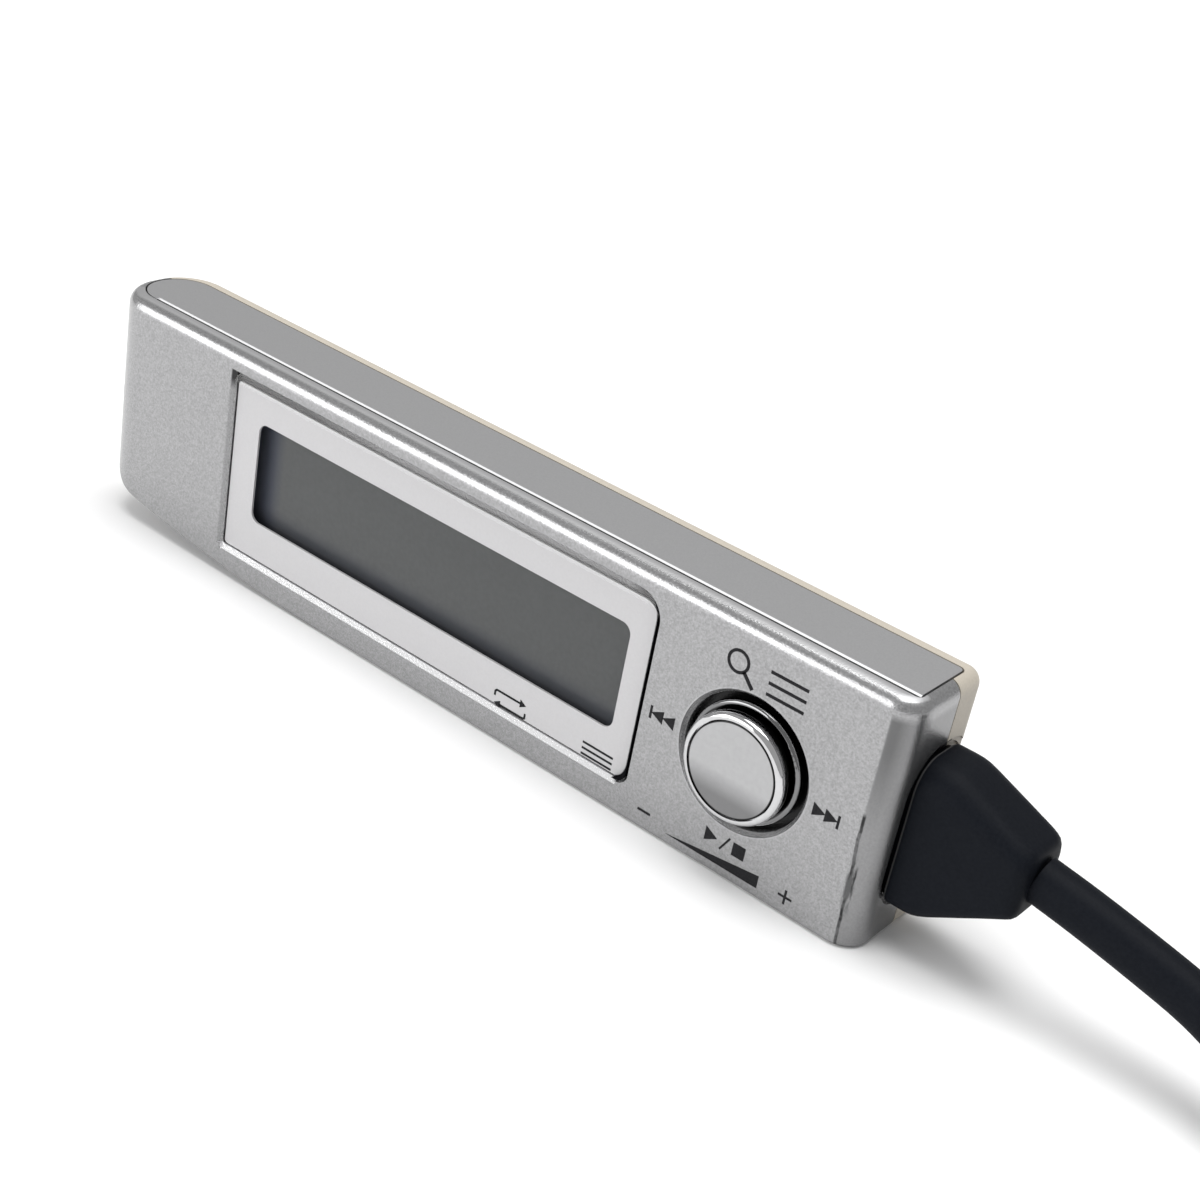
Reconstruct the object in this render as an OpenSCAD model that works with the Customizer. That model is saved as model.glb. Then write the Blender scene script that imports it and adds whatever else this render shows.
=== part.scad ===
// Stick-shaped wired remote control with a display, for a portable disc player.
// It stands on its long bottom side: +X points to the cord end, the face looks to -Y, +Z is up.
// Depths are counted back from the face, heights up from the standing side.

/* [Case] */
// Length of the case, without the cord's boot
body_l = 83; // [74:0.5:95]
// Height of the case as it stands
body_h = 20.7; // [18.6:0.1:24]
// Thickness of the case, from the face to the back
body_t = 9.4; // [8.5:0.1:11]
// Depth of the front shell, from the face to the parting line
front_t = 5.7; // [5.2:0.1:6.2]
// Gap of the parting line between the shells
parting_gap = 0.12; // [0.05:0.01:0.2]
// Wall behind the face
front_wall = 1.5; // [1.4:0.1:1.7]
// Wall of the back and of the round end
side_wall = 1.2; // [1:0.1:1.3]
// Wall of the cord end
cord_wall = 1.5; // [1.3:0.1:1.8]
// Wall of the standing side
floor_wall = 1.8; // [1.6:0.1:2]
// Wall under the top trim
roof_wall = 1.9; // [1.7:0.1:2.2]
// Plan radius of the round end
end_r = 4.2; // [3:0.1:4.6]
// Plan radius of the front upright edge at the cord end
corner_r = 2.2; // [1.5:0.1:3]
// Plan radius of the rear upright edge at the cord end
back_r = 1.3; // [1:0.1:1.5]
// Radius of the upper long edges
edge_r = 1.2; // [0.6:0.1:1.4]
// Radius of the lower long edges
foot_r = 0.5; // [0.3:0.1:0.8]
// Rise of the underside towards the round end
heel_lift = 2.2; // [1.5:0.1:2.4]
// Length over which the underside rises
heel_l = 35; // [30:0.5:38]
// Corner radius between the underside and the round end
heel_r = 6; // [5:0.1:6.5]

/* [Top trim] */
// Width of the trim plate
trim_w = 6.1; // [5:0.1:6.3]
// Thickness of the trim plate
trim_t = 0.8; // [0.5:0.1:1]
// Distance of the trim plate from the face
trim_d = 1.5; // [1.4:0.1:1.7]
// Distance of the trim plate from the round end
trim_inset = 1.2; // [1:0.1:3]
// Distance of the trim plate from the cord end
trim_end = 1.05; // [0.9:0.05:3]
// Open groove round the trim plate
trim_gap = 0.15; // [0.1:0.01:0.2]
// Bright chamfer along the trim's front edge
trim_chamfer = 0.4; // [0.1:0.05:0.5]

/* [Display] */
// Distance of the window from the round end
window_end = 16.2; // [15.6:0.1:20]
// Distance of the window pocket from the stick's axis
window_stick = 9.2; // [8:0.1:12]
// Height of the window pocket's lower edge
window_z = 2.7; // [2.2:0.1:3]
// Distance of the window pocket from the top of the case
window_top = 1.7; // [1.5:0.1:2.5]
// Sloped rim of the pocket, on its lower and left sides
rim = 0.4; // [0.2:0.05:0.5]
// Thickness of the clear window
lens_t = 0.5; // [0.4:0.05:0.6]
// Slope along the window's upper edge
lens_bevel = 0.9; // [0.5:0.1:1]
// Gap round the window
lens_gap = 0.12; // [0.08:0.01:0.2]
// Thickness of the white mask behind the window
mask_t = 0.2; // [0.1:0.05:0.3]
// Distance of the visible display from the pocket's left side
view_left = 3; // [2.4:0.1:5]
// Distance of the visible display from the pocket's right side
view_right = 2.6; // [2.4:0.1:5]
// Distance of the visible display from the pocket's upper side
view_top = 3.7; // [3:0.1:5]
// Height of the visible display's lower edge
view_z = 6.2; // [6:0.1:7]
// Thickness of the display glass
lcd_t = 1.5; // [1.2:0.1:1.7]
// Thickness of the light guide behind the glass
guide_t = 1.3; // [1:0.1:1.4]

/* [Board] */
// Distance from the display glass to the circuit board
board_gap = 1.75; // [1.7:0.05:1.9]
// Thickness of the circuit board
board_t = 0.8; // [0.6:0.1:0.9]

/* [Stick] */
// Distance of the stick's axis from the cord end
stick_end = 12; // [10.8:0.1:13.2]
// Height of the stick's axis
stick_z = 9.9; // [9.4:0.1:10.8]
// Radius of the dish in the face
dish_r = 5.64; // [5:0.02:6.2]
// Depth of the dish
dish_depth = 1.5; // [1.4:0.1:1.6]
// Room round the knob's flange, for tilting
knob_gap = 0.55; // [0.5:0.01:0.8]
// How far the knob's upper ring stays back from its flange
knob_step = 0.47; // [0.2:0.01:0.6]
// How far the knob stands out of the face
stick_proud = 1.5; // [1.2:0.1:2]
// Radius of the stick's stem
stem_r = 0.9; // [0.8:0.05:1]
// Depth of the point that the stick tilts about
pivot_d = 3.3; // [3:0.05:3.6]
// Radius of the tiny pivot pins
trunnion_r = 0.25; // [0.2:0.01:0.3]

/* [Keys] */
// Depth of the middle of the key row
key_d = 3.4; // [3.1:0.05:3.7]
// Width of the keys across the case
key_w = 2.2; // [1.8:0.1:2.4]
// Length of a push key
key_l = 5; // [4:0.1:6]
// Height of the keys' outer faces above the standing side
key_face = 0.5; // [0.45:0.05:0.7]
// Distance between the middles of the push keys
key_pitch = 8.9; // [8:0.1:12]
// Distance of the second push key's middle from the volume rocker
rocker_gap = 4.25; // [4:0.05:6]
// Length of the volume rocker
rocker_l = 15.5; // [14:0.1:17]
// Radius of the rocker's pin
rocker_pin_r = 0.5; // [0.4:0.05:0.6]
// Gap round a key in its opening
key_gap = 0.15; // [0.1:0.01:0.25]
// Depth of the finger groove that holds the keys
groove_depth = 0.8; // [0.6:0.05:0.9]

/* [Headphone socket] */
// Radius of the socket's bore
jack_bore_r = 1.8; // [1.6:0.01:2]
// Height of the socket housing
jack_h = 6.4; // [5.6:0.1:7]
// Length of the socket's bore behind its bush
jack_bore_l = 13; // [12:0.1:14.2]

/* [Clip] */
// How far the clip stands out of the back
clip_depth = 4.6; // [4.2:0.1:5.6]
// Thickness of the clip lever
clip_t = 1.2; // [1:0.1:1.3]
// Width of the clip lever
clip_w = 11; // [10:0.5:12]
// Reach of the clip from its pin to the jaw
jaw_l = 28; // [24:0.5:30]
// Reach of the clip from its pin to the finger end
press_l = 14; // [12:0.5:15]
// Radius of the clip's pin
clip_pin_r = 0.75; // [0.6:0.05:0.8]

/* [Hold switch] */
// Travel of the hold slider
hold_travel = 2.5; // [2:0.1:2.8]
// Length of the hold slider's button
hold_l = 3.6; // [3:0.1:4]

/* [Cord] */
// Diameter of the cord
cord_d = 3.6; // [3:0.1:3.6]
// Length of the boot outside the case
boot_l = 9.3; // [8:0.1:10]
// Width of the boot where it leaves the case
boot_w = 6.5; // [5.9:0.1:7.1]
// Height of the boot where it leaves the case
boot_h = 12.1; // [10:0.1:13.2]
// Depth of the boot's axis
boot_d = 5.8; // [5.3:0.05:6.3]
// Height of the middle of the boot where it leaves the case
boot_z = 9.3; // [9:0.1:10]
// Gap between the runs of the tied hank that holds the rest of the cord
hank_gap = 0.5; // [0.45:0.05:0.7]
// Radius of the hank's inner folds
hank_r = 7.4; // [7.4:0.1:8]
// Length of the hank's straight runs
hank_l = 66; // [60:1:72]

/* [Hidden] */
$fn = 64;

// Small overlap of joined shapes, and overshoot of cuts
over = 0.2;
// Gap between pieces that sit on each other
seat = 0.05;
// Radial gap of a pin that turns in its hole
run_gap = 0.03;

// Frame: the box of the case, the stick and the clip stands centred on the origin
face_y = stick_proud - (stick_proud + body_t + clip_depth) / 2;
left_x = -body_l / 2;
right_x = body_l / 2;
in_x0 = left_x + side_wall;
in_x1 = right_x - cord_wall;
in_d1 = body_t - side_wall;
in_z1 = body_h - roof_wall;

// An upper edge can't be rounder than the upright edge it runs into
top_r = min(edge_r, back_r);

// Underside that rises to the round end: a shallow curve, then the corner's arc
heel_x = left_x + heel_l;
heel_tilt = atan(2 * heel_lift / (heel_l - heel_r));
heel_end = left_x + heel_r * (1 - sin(heel_tilt));

function heel_z(x) = heel_lift * pow(max(0, heel_x - x) / (heel_x - heel_end), 2);

// Case screws, and the room that they leave for the board
screw_r = 0.8;
screw_head_r = 1.5;
screw_head_t = 1;
post_r = 1.45;
boss_r = post_r + 0.4;
screw_left = left_x + 8;
screw_right = right_x - 4.9;
screw_low = floor_wall + boss_r + 0.1 + heel_z(screw_left) / 2;
screw_spots = [[screw_left, screw_low], [screw_left, in_z1 - boss_r - 0.1],
    [screw_right, floor_wall + 2.8], [screw_right, in_z1 - 2.2]];

// Headphone socket, in the middle of the room between face and back
jack_t = in_d1 - front_wall - 0.5;
jack_d = front_wall + 0.1 + jack_t / 2;
jack_z = body_h / 2;
bush_r = jack_bore_r + 0.7;
bush_l = 1.7;
jack_x0 = left_x + bush_l + seat;
jack_x1 = jack_x0 + jack_bore_l + 0.7;
jack_nose = 2.2;

// Display stack, from the face inwards
stick_x = right_x - stick_end;
win_x0 = left_x + window_end;
win_x1 = stick_x - window_stick;
win_z1 = body_h - window_top;
pocket_depth = lens_t + mask_t + seat;
view_x0 = win_x0 + view_left;
view_x1 = win_x1 - view_right;
view_z1 = win_z1 - view_top;
lcd_margin = 1.6;
lcd_d0 = front_wall + seat;
lcd_d1 = lcd_d0 + lcd_t;
guide_z1 = view_z1 - 0.1;
board_d0 = lcd_d1 + board_gap;
board_d1 = board_d0 + board_t;
board_x0 = jack_x1 + 0.45;
board_x1 = screw_right - post_r - 0.25;
board_z0 = floor_wall + 1.8;
board_z1 = in_z1 - 1;

// Chips on the back of the board
chip_w = 9;
memory_w = 6;
memory_h = 7;
chip_t = 1.2;
small_w = 2;
small_h = 3.4;
small_t = 0.9;
chip_gap = 5;

// Stick
base_w = 8;
dish_wall_r = dish_r - 0.29;
cup_r = dish_wall_r + 0.85;
cup_floor = 0.7;
flange_r = dish_wall_r - knob_gap;
ring_r = flange_r - knob_step;
gimbal_t = 0.8;
gimbal_r = 2.85;
gimbal_in_r = 1.9;
hub_r = 1.5;
cap_r = ring_r - 0.55;
cap_drop = 0.35;

// Keys: the heights of their flanges and posts, and of the switches above them
rocker_x = stick_x - 0.6;
menu_x = rocker_x - rocker_l / 2 - rocker_gap;
key_spots = [menu_x - key_pitch, menu_x];
rocker_arm = 4.2;
rocker_spots = [rocker_x - rocker_arm, rocker_x + rocker_arm];
flange_z = floor_wall + 0.1;
flange_t = 0.5;
post_z = flange_z + flange_t + 0.5;
plunger_w = 1.2;
plunger_d = board_d0 - 0.75;
plunger_z1 = post_z + 1.1;
switch_z0 = post_z + 0.6;
switch_h = 1.6;
switch_l = 3.4;
switch_t = 1.45;
rocker_pin_z = flange_z + 1;
rocker_lug_d = front_t - 0.3;

// Clip: pin line, lugs of the rear shell and knuckles of the lever
clip_x = 6;
clip_z = body_h / 2;
clip_inner_d = body_t + clip_depth - clip_t;
spring_wire = 0.4;
clip_axis_d = clip_inner_d - clip_pin_r - spring_wire - 0.25;
lug_r = clip_pin_r + 0.45;
lug_t = 1.2;
lug_z = 3.75;
knuckle_t = 1;
spring_r = clip_pin_r + spring_wire / 2 + 0.15;
spring_turns = 3.5;
spring_pitch = 0.9;

// Hold slider, beside the clip's finger end
hold_x = right_x - 11.75;
hold_w = 2.2;
hold_plate_d = in_d1 - 0.65;
hold_plate_t = 0.55;
hold_cover = hold_l / 2 + hold_travel + 0.45;

// Boot and cord
boot_recess = 0.5;
boot_side = 0.55;
boot_x1 = right_x + boot_l;
boot_end_z = 9.8;
neck_w = 3.8;
neck_h = 7;
cord_r = cord_d / 2;

// Hank: four columns and two layers of runs along X, and one fold on top that leads to the plug
hank_x = 87;
hank_y = 5;
hank_low = 2.4;
hank_pitch = cord_d + hank_gap;
hank_high = hank_low + hank_pitch;
hank_top = hank_high + hank_pitch;
hank_outer = hank_r + hank_pitch;
hank_x1 = hank_x + hank_l;
hank_stagger = 4;
hank_rise = 24;
fold_rings = 12;
tie_t = 0.4;
tie_w = 5;

// Plug on the hank, over the tie
plug_x = hank_x + 18;
plug_y = hank_y - (hank_outer + hank_r) / 2;
relief_l = 7;
plug_l = 14;
plug_w = 9;
plug_h = 7;
plug_z = hank_high + cord_r + 0.15 + tie_t + plug_h / 2;
pin_r = 1.75;
pin_l = 11.2;
ring_w = 0.6;
ring_depth = 0.3;
ring_spots = [2.6, 5.6, 8.6];
pin_x = plug_x + relief_l + plug_l + seat;
tie_x = plug_x + relief_l + plug_l / 2;

// Free stretches of the cord: from the boot down to the hank, and from the hank up to the plug
cord_points = [[50.8, -0.4, 9.8], [54.5, -0.4, 9.2], [59, -0.4, 8.3], [63.5, -0.5, 7.3],
    [67, -1.1, 6.3], [71, -2.3, 4.9], [75, -3.9, 3.5], [79, -5.4, 2.6],
    [hank_x - cord_d, hank_y - hank_outer, hank_low]];
lead_x = hank_x + cord_d;
lead_points = [for (s = [0, 0.25, 0.5, 0.75, 1])
    [lead_x + (plug_x - lead_x) * s, plug_y, hank_top + (plug_z - hank_top) * s * s * (3 - 2 * s)]];

// Shared shapes

// A rectangle with its own radius at each corner: lower left, lower right, upper right, upper left
module round_rect(x0, x1, y0, y1, r) {
    spots = [[x0, y0, 1, 1], [x1, y0, -1, 1], [x1, y1, -1, -1], [x0, y1, 1, -1]];
    difference() {
        translate([x0, y0]) square([x1 - x0, y1 - y0]);
        for (i = [0 : 3]) {
            if (r[i] > 0) {
                translate([spots[i][0] + spots[i][2] * r[i], spots[i][1] + spots[i][3] * r[i]])
                    scale([-spots[i][2], -spots[i][3]])
                        difference() {
                            square(r[i] + over);
                            circle(r[i]);
                        }
            }
        }
    }
}

// A box by its limits along the case, back from the face and up
module block(x0, x1, d0, d1, z0, z1) {
    translate([x0, face_y + d0, z0]) cube([x1 - x0, d1 - d0, z1 - z0]);
}

// A flat shape in X and Z, given depth
module slab_d(d0, d1) {
    translate([0, face_y + d1, 0]) rotate([90, 0, 0]) linear_extrude(d1 - d0) children();
}

// A flat shape in depth and Z, given length along X
module slab_x(x0, x1) {
    translate([x0, face_y, 0]) rotate([90, 0, 90]) linear_extrude(x1 - x0) children();
}

// A flat shape in X and depth, given height
module slab_z(z0, z1) {
    translate([0, face_y, z0]) linear_extrude(z1 - z0) children();
}

// Round bars along depth, X and Z
module rod_d(x, z, d0, d1, r) {
    translate([x, face_y + d0, z]) rotate([-90, 0, 0]) cylinder(h = d1 - d0, r = r);
}

module rod_x(x0, x1, d, z, r) {
    translate([x0, face_y + d, z]) rotate([0, 90, 0]) cylinder(h = x1 - x0, r = r);
}

module rod_z(x, d, z0, z1, r) {
    translate([x, face_y + d, z0]) cylinder(h = z1 - z0, r = r);
}

// Shapes turned about the stick's axis, drawn with their height measured out of the face
module stick_turned() {
    translate([stick_x, face_y, stick_z]) rotate([90, 0, 0]) rotate_extrude() children();
}

// A tube swept along points, its rings square to the path
function unit(v) = v / norm(v);
function heading(p, i) = unit(p[min(i + 1, len(p) - 1)] - p[max(i - 1, 0)]);
function side_of(t) = unit(cross(t, [0, 0, 1]));
function ring(c, t, r, n) = [for (k = [0 : n - 1]) let (a = 360 * k / n, u = side_of(t))
    c + r * (cos(a) * u + sin(a) * cross(u, t))];
function ring_headings(p, first, last) = [for (i = [0 : len(p) - 1])
    i == 0 ? first : i == len(p) - 1 ? last : heading(p, i)];
module tube(p, r, n, first, last) {
    turns = ring_headings(p, first, last);
    m = len(p) - 1;
    points = [for (i = [0 : m]) each ring(p[i], turns[i], r, n)];
    sides = [for (i = [0 : m - 1]) for (k = [0 : n - 1]) let (j = (k + 1) % n)
        each [[i * n + k, i * n + j, (i + 1) * n + j], [i * n + k, (i + 1) * n + j, (i + 1) * n + k]]];
    caps = [for (k = [1 : n - 2])
        each [[0, k + 1, k], [m * n, m * n + k, m * n + k + 1]]];
    polyhedron(points, concat(sides, caps));
}

// The whole outside of the case: a straight run with two rounded ends
module end_profile(r) {
    round_rect(0, r, 0, body_h, [0, foot_r, top_r, 0]);
}

module case_end(r, rear_r) {
    flat = body_t - r - rear_r;
    translate([0, body_t - rear_r, 0]) rotate([90, 0, 0]) linear_extrude(flat) end_profile(r);
    translate([0, r, 0]) rotate([0, 0, -90]) rotate_extrude(angle = 90) end_profile(r);
    translate([r - rear_r, body_t - rear_r, 0]) rotate_extrude(angle = 90) end_profile(rear_r);
    if (r > rear_r) {
        rotate([90, 0, 90]) linear_extrude(r - rear_r)
            round_rect(body_t - rear_r, body_t, 0, body_h, [0, foot_r, top_r, 0]);
    }
}

// What lies under the rising underside, raised by a wall
module below_heel(wall) {
    steps = 8;
    r = heel_r - wall;
    rise = [for (i = [0 : steps])
        let (x = heel_x + (heel_end - heel_x) * i / steps) [x, heel_z(x) + wall]];
    arc = [for (i = [1 : steps])
        let (a = heel_tilt + (90 - heel_tilt) * i / steps)
            [left_x + heel_r - r * sin(a), heel_lift + heel_r * cos(heel_tilt) - r * cos(a)]];
    slab_d(-1, body_t + 1)
        polygon(concat(rise, arc, [[left_x - 1, arc[steps - 1][1]], [left_x - 1, -1], [heel_x, -1]]));
}

module case_body() {
    difference() {
        union() {
            slab_x(left_x + end_r, right_x - corner_r)
                round_rect(0, body_t, 0, body_h, [foot_r, foot_r, top_r, top_r]);
            translate([left_x + end_r, face_y, 0]) mirror([1, 0, 0]) case_end(end_r, end_r);
            translate([right_x - corner_r, face_y, 0]) case_end(corner_r, back_r);
        }
        below_heel(0);
    }
}

module cavity() {
    inner_r = end_r - side_wall;
    difference() {
        slab_z(floor_wall, in_z1)
            round_rect(in_x0, in_x1, front_wall, in_d1, [inner_r, 0, 0, inner_r]);
        below_heel(floor_wall);
    }
}

// Cuts that both shells share
module trim_outline(grow) {
    round_r = trim_w / 2 - 0.1;
    square_r = 0.4;
    round_rect(left_x + trim_inset - grow, right_x - trim_end + grow, trim_d - grow,
        trim_d + trim_w + grow, [round_r + grow, square_r + grow, square_r + grow, round_r + grow]);
}

module boot_outline(grow) {
    r = boot_w / 2 - boot_side + grow;
    round_rect(boot_d - boot_w / 2 - grow, boot_d + boot_w / 2 + grow,
        boot_z - boot_h / 2 - grow, boot_z + boot_h / 2 + grow, [r, r, r, r]);
}

module shared_cuts() {
    slab_z(body_h - trim_t - seat, body_h + 1) trim_outline(trim_gap);
    rod_x(left_x - 1, in_x0 + 1, jack_d, jack_z, bush_r + seat);
    slab_x(right_x - boot_recess, right_x + 1) boot_outline(0.25);
    slab_x(right_x - boot_recess / 2, right_x + 1) boot_outline(0.7);
    block(in_x1 - 1, right_x, boot_d - neck_w / 2 - seat, boot_d + neck_w / 2 + seat,
        boot_z - neck_h / 2 - seat, boot_z + neck_h / 2 + seat);
}

// Case shells and trim
module key_opening(x, l) {
    block(x - l / 2 - key_gap, x + l / 2 + key_gap, key_d - key_w / 2 - key_gap,
        key_d + key_w / 2 + key_gap, -1, flange_z + flange_t + 0.6);
}

module window_cuts() {
    slab_d(-1, pocket_depth)
        round_rect(win_x0, win_x1, window_z, win_z1, [0.4, 1, 2.2, 0.4]);
    slab_d(-1, front_wall + 1)
        round_rect(view_x0 - 1, view_x1 + 1, view_z - 0.8, view_z1 + 0.8, [0.5, 0.5, 0.5, 0.5]);
    slab_x(win_x0, win_x1 - 1)
        polygon([[-over, window_z - rim - over], [rim, window_z], [rim, window_z + over],
            [-over, window_z + over]]);
    slab_z(window_z, win_z1)
        polygon([[win_x0 - rim - over, -over], [win_x0 + over, -over], [win_x0 + over, rim],
            [win_x0, rim]]);
}

module stick_dish() {
    stick_turned()
        polygon([[0, 1], [dish_r, 1], [dish_r, 0], [dish_wall_r, -0.35], [dish_wall_r, -dish_depth],
            [0, -dish_depth]]);
    rod_d(stick_x, stick_z, 0, dish_depth + 1, stem_r + 1.1);
}

module finger_groove() {
    half = key_w / 2 + 0.6;
    slab_z(-1, groove_depth)
        round_rect(key_spots[0] - key_l / 2 - 1, rocker_x + rocker_l / 2 + 0.9, key_d - half,
            key_d + half, [1.2, 1.2, 1.2, 1.2]);
}

module rocker_lugs() {
    half = key_w / 2 + 0.1;
    for (span = [[front_wall - over, key_d - half], [key_d + half, rocker_lug_d]]) {
        block(rocker_x - 1, rocker_x + 1, span[0], span[1], floor_wall - over, rocker_pin_z + 1);
    }
}

module front_shell() {
    color([0.72, 0.72, 0.73])
        difference() {
            union() {
                difference() {
                    intersection() {
                        case_body();
                        block(left_x - 1, right_x + 1, -1, front_t, -1, body_h + 1);
                    }
                    cavity();
                }
                rod_d(stick_x, stick_z, front_wall - over, dish_depth + cup_floor, cup_r);
                for (p = screw_spots) {
                    rod_d(p[0], p[1], front_wall - over, front_t, post_r);
                }
                rocker_lugs();
            }
            shared_cuts();
            window_cuts();
            stick_dish();
            finger_groove();
            for (x = key_spots) {
                key_opening(x, key_l);
            }
            key_opening(rocker_x, rocker_l + 0.2);
            rod_d(rocker_x, rocker_pin_z, front_wall, front_t + 1, rocker_pin_r + 0.02);
            for (p = screw_spots) {
                rod_d(p[0], p[1], front_wall + 0.8, front_t + 1, screw_r + 0.02);
            }
        }
}

module clip_lugs() {
    for (side = [-1, 1]) {
        z0 = clip_z + side * lug_z - lug_t / 2;
        rod_z(clip_x, clip_axis_d, z0, z0 + lug_t, lug_r);
        block(clip_x - lug_r, clip_x + lug_r, body_t - over, clip_axis_d, z0, z0 + lug_t);
    }
}

module board_posts() {
    for (x = [view_x0 + 1, view_x1 - 1]) {
        for (z = [board_z0 + 2.2, board_z1 - 2.2]) {
            rod_d(x, z, board_d1 + seat, in_d1 + over, 1);
        }
    }
}

module rear_shell() {
    color([0.86, 0.82, 0.74])
        difference() {
            union() {
                difference() {
                    intersection() {
                        case_body();
                        block(left_x - 1, right_x + 1, front_t + parting_gap, body_t + 1, -1,
                            body_h + 1);
                    }
                    cavity();
                }
                for (p = screw_spots) {
                    rod_d(p[0], p[1], front_t + parting_gap, in_d1 + over, boss_r);
                }
                board_posts();
                clip_lugs();
            }
            shared_cuts();
            for (p = screw_spots) {
                rod_d(p[0], p[1], front_t - 1, body_t + 1, screw_r + 0.1);
                rod_d(p[0], p[1], body_t - screw_head_t - seat, body_t + 1, screw_head_r + 0.1);
            }
            rod_z(clip_x, clip_axis_d, 0, body_h, clip_pin_r + 0.01);
            slab_d(in_d1 - 1, body_t + 1)
                round_rect(hold_x - hold_l / 2 - 0.15, hold_x + hold_l / 2 + hold_travel + 0.15,
                    clip_z - hold_w / 2 - 0.15, clip_z + hold_w / 2 + 0.15, [0.5, 0.5, 0.5, 0.5]);
        }
}

module top_trim() {
    color([0.64, 0.64, 0.65])
        difference() {
            slab_z(body_h - trim_t, body_h) trim_outline(0);
            slab_x(left_x + trim_inset + trim_w / 2, right_x - trim_end + over)
                polygon([[trim_d - over, body_h - trim_chamfer - over],
                    [trim_d + trim_chamfer + over, body_h + over], [trim_d - over, body_h + over]]);
        }
}

// Display
module window_lens() {
    color([0.85, 0.88, 0.9, 0.4])
        difference() {
            slab_d(0, lens_t)
                round_rect(win_x0 + lens_gap, win_x1 - 2 * lens_gap, window_z + lens_gap,
                    win_z1 - lens_gap, [0.3, 0.9, 2.1, 0.3]);
            slab_x(win_x0 - 1, win_x1 + 1)
                polygon([[-over, win_z1 - lens_gap - lens_bevel - over * lens_bevel / lens_t],
                    [lens_t - 0.05, win_z1 - lens_gap - 0.05 * lens_bevel / lens_t],
                    [lens_t - 0.05, win_z1 + 1], [-over, win_z1 + 1]]);
        }
}

module window_mask() {
    color([0.85, 0.84, 0.84])
        slab_d(lens_t + 0.01, lens_t + mask_t)
            difference() {
                round_rect(win_x0 + lens_gap, win_x1 - 3 * lens_gap, window_z + lens_gap,
                    win_z1 - lens_gap - lens_bevel, [0.3, 0.6, 1.6, 0.3]);
                round_rect(view_x0, view_x1, view_z, view_z1, [0.9, 0.9, 0.9, 0.9]);
            }
}

module lcd_panel() {
    color([0.38, 0.39, 0.39])
        block(view_x0 - 2, view_x1 + 2, lcd_d0, lcd_d1, view_z - lcd_margin, view_z1 + lcd_margin);
}

module light_guide() {
    color([0.9, 0.92, 0.9])
        block(view_x0 - 1.5, view_x1 + 1.5, lcd_d1 + seat, lcd_d1 + seat + guide_t,
            max(view_z - 1, switch_z0 + switch_h + 0.1), guide_z1);
}

module lcd_connector() {
    color([0.85, 0.5, 0.55])
        block(view_x0 + 0.4, view_x1 - 0.4, lcd_d1 + 0.02, board_d0 - 0.02, guide_z1 + 0.3,
            guide_z1 + 1.4);
}

// Board and what is soldered to it
module circuit_board() {
    color([0.12, 0.4, 0.22])
        block(board_x0, board_x1, board_d0, board_d1, board_z0, board_z1);
}

module chip(x, z, w, h, t) {
    block(x - w / 2, x + w / 2, board_d1 + 0.02, board_d1 + 0.02 + t, z - h / 2, z + h / 2);
}

module control_chips() {
    mid_z = (board_z0 + board_z1) / 2;
    mid_x = (view_x0 + view_x1) / 2;
    color([0.12, 0.12, 0.13]) {
        chip(mid_x - chip_w / 2 - 1, mid_z, chip_w, chip_w, chip_t);
        chip(mid_x + memory_w / 2 + 1, mid_z, memory_w, memory_h, chip_t);
        for (x = [mid_x - chip_w - chip_gap, mid_x + memory_w + chip_gap]) {
            chip(x, mid_z, small_w, small_h, small_t);
        }
    }
}

module switch_case(x) {
    difference() {
        block(x - switch_l / 2, x + switch_l / 2, board_d0 - 0.02 - switch_t, board_d0 - 0.02, switch_z0,
            switch_z0 + switch_h);
        block(x - plunger_w / 2 - 0.2, x + plunger_w / 2 + 0.2, plunger_d - 0.55, plunger_d + 0.55,
            switch_z0 - 1, plunger_z1 + 0.5);
    }
}

module key_switches() {
    color([0.75, 0.76, 0.78])
        for (x = concat(key_spots, rocker_spots)) {
            switch_case(x);
        }
}

module plunger(x) {
    block(x - plunger_w / 2, x + plunger_w / 2, plunger_d - 0.35, plunger_d + 0.35, post_z + 0.02,
        plunger_z1);
}

module repeat_plunger() {
    color([0.15, 0.15, 0.16]) plunger(key_spots[0]);
}

module menu_plunger() {
    color([0.15, 0.15, 0.16]) plunger(key_spots[1]);
}

module volume_plungers() {
    color([0.15, 0.15, 0.16])
        for (x = rocker_spots) {
            plunger(x);
        }
}

// Stick: base on the board, gimbal, stem, knob and cap
module stick_base() {
    base_d0 = dish_depth + cup_floor + 0.4;
    color([0.78, 0.78, 0.8])
        difference() {
            block(stick_x - base_w / 2, stick_x + base_w / 2, base_d0, board_d0 - 0.02,
                stick_z - base_w / 2, stick_z + base_w / 2);
            rod_d(stick_x, stick_z, base_d0 - 1, board_d0 + 1, gimbal_r + 0.4);
            rod_x(stick_x - base_w, stick_x + base_w, pivot_d, stick_z, trunnion_r + run_gap);
        }
}

module stick_contact() {
    color([0.8, 0.7, 0.4])
        rod_d(stick_x, stick_z, board_d0 - 0.2, board_d0 - 0.02, gimbal_r);
}

module stick_gimbal() {
    color([0.2, 0.2, 0.22])
        difference() {
            union() {
                rod_d(stick_x, stick_z, pivot_d - gimbal_t / 2, pivot_d + gimbal_t / 2, gimbal_r);
                rod_x(stick_x - base_w / 2 + 0.1, stick_x + base_w / 2 - 0.1, pivot_d, stick_z, trunnion_r);
            }
            rod_d(stick_x, stick_z, pivot_d - gimbal_t, pivot_d + gimbal_t, gimbal_in_r);
            rod_z(stick_x, pivot_d, stick_z - gimbal_r - 1, stick_z + gimbal_r + 1, trunnion_r + run_gap);
        }
}

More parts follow.
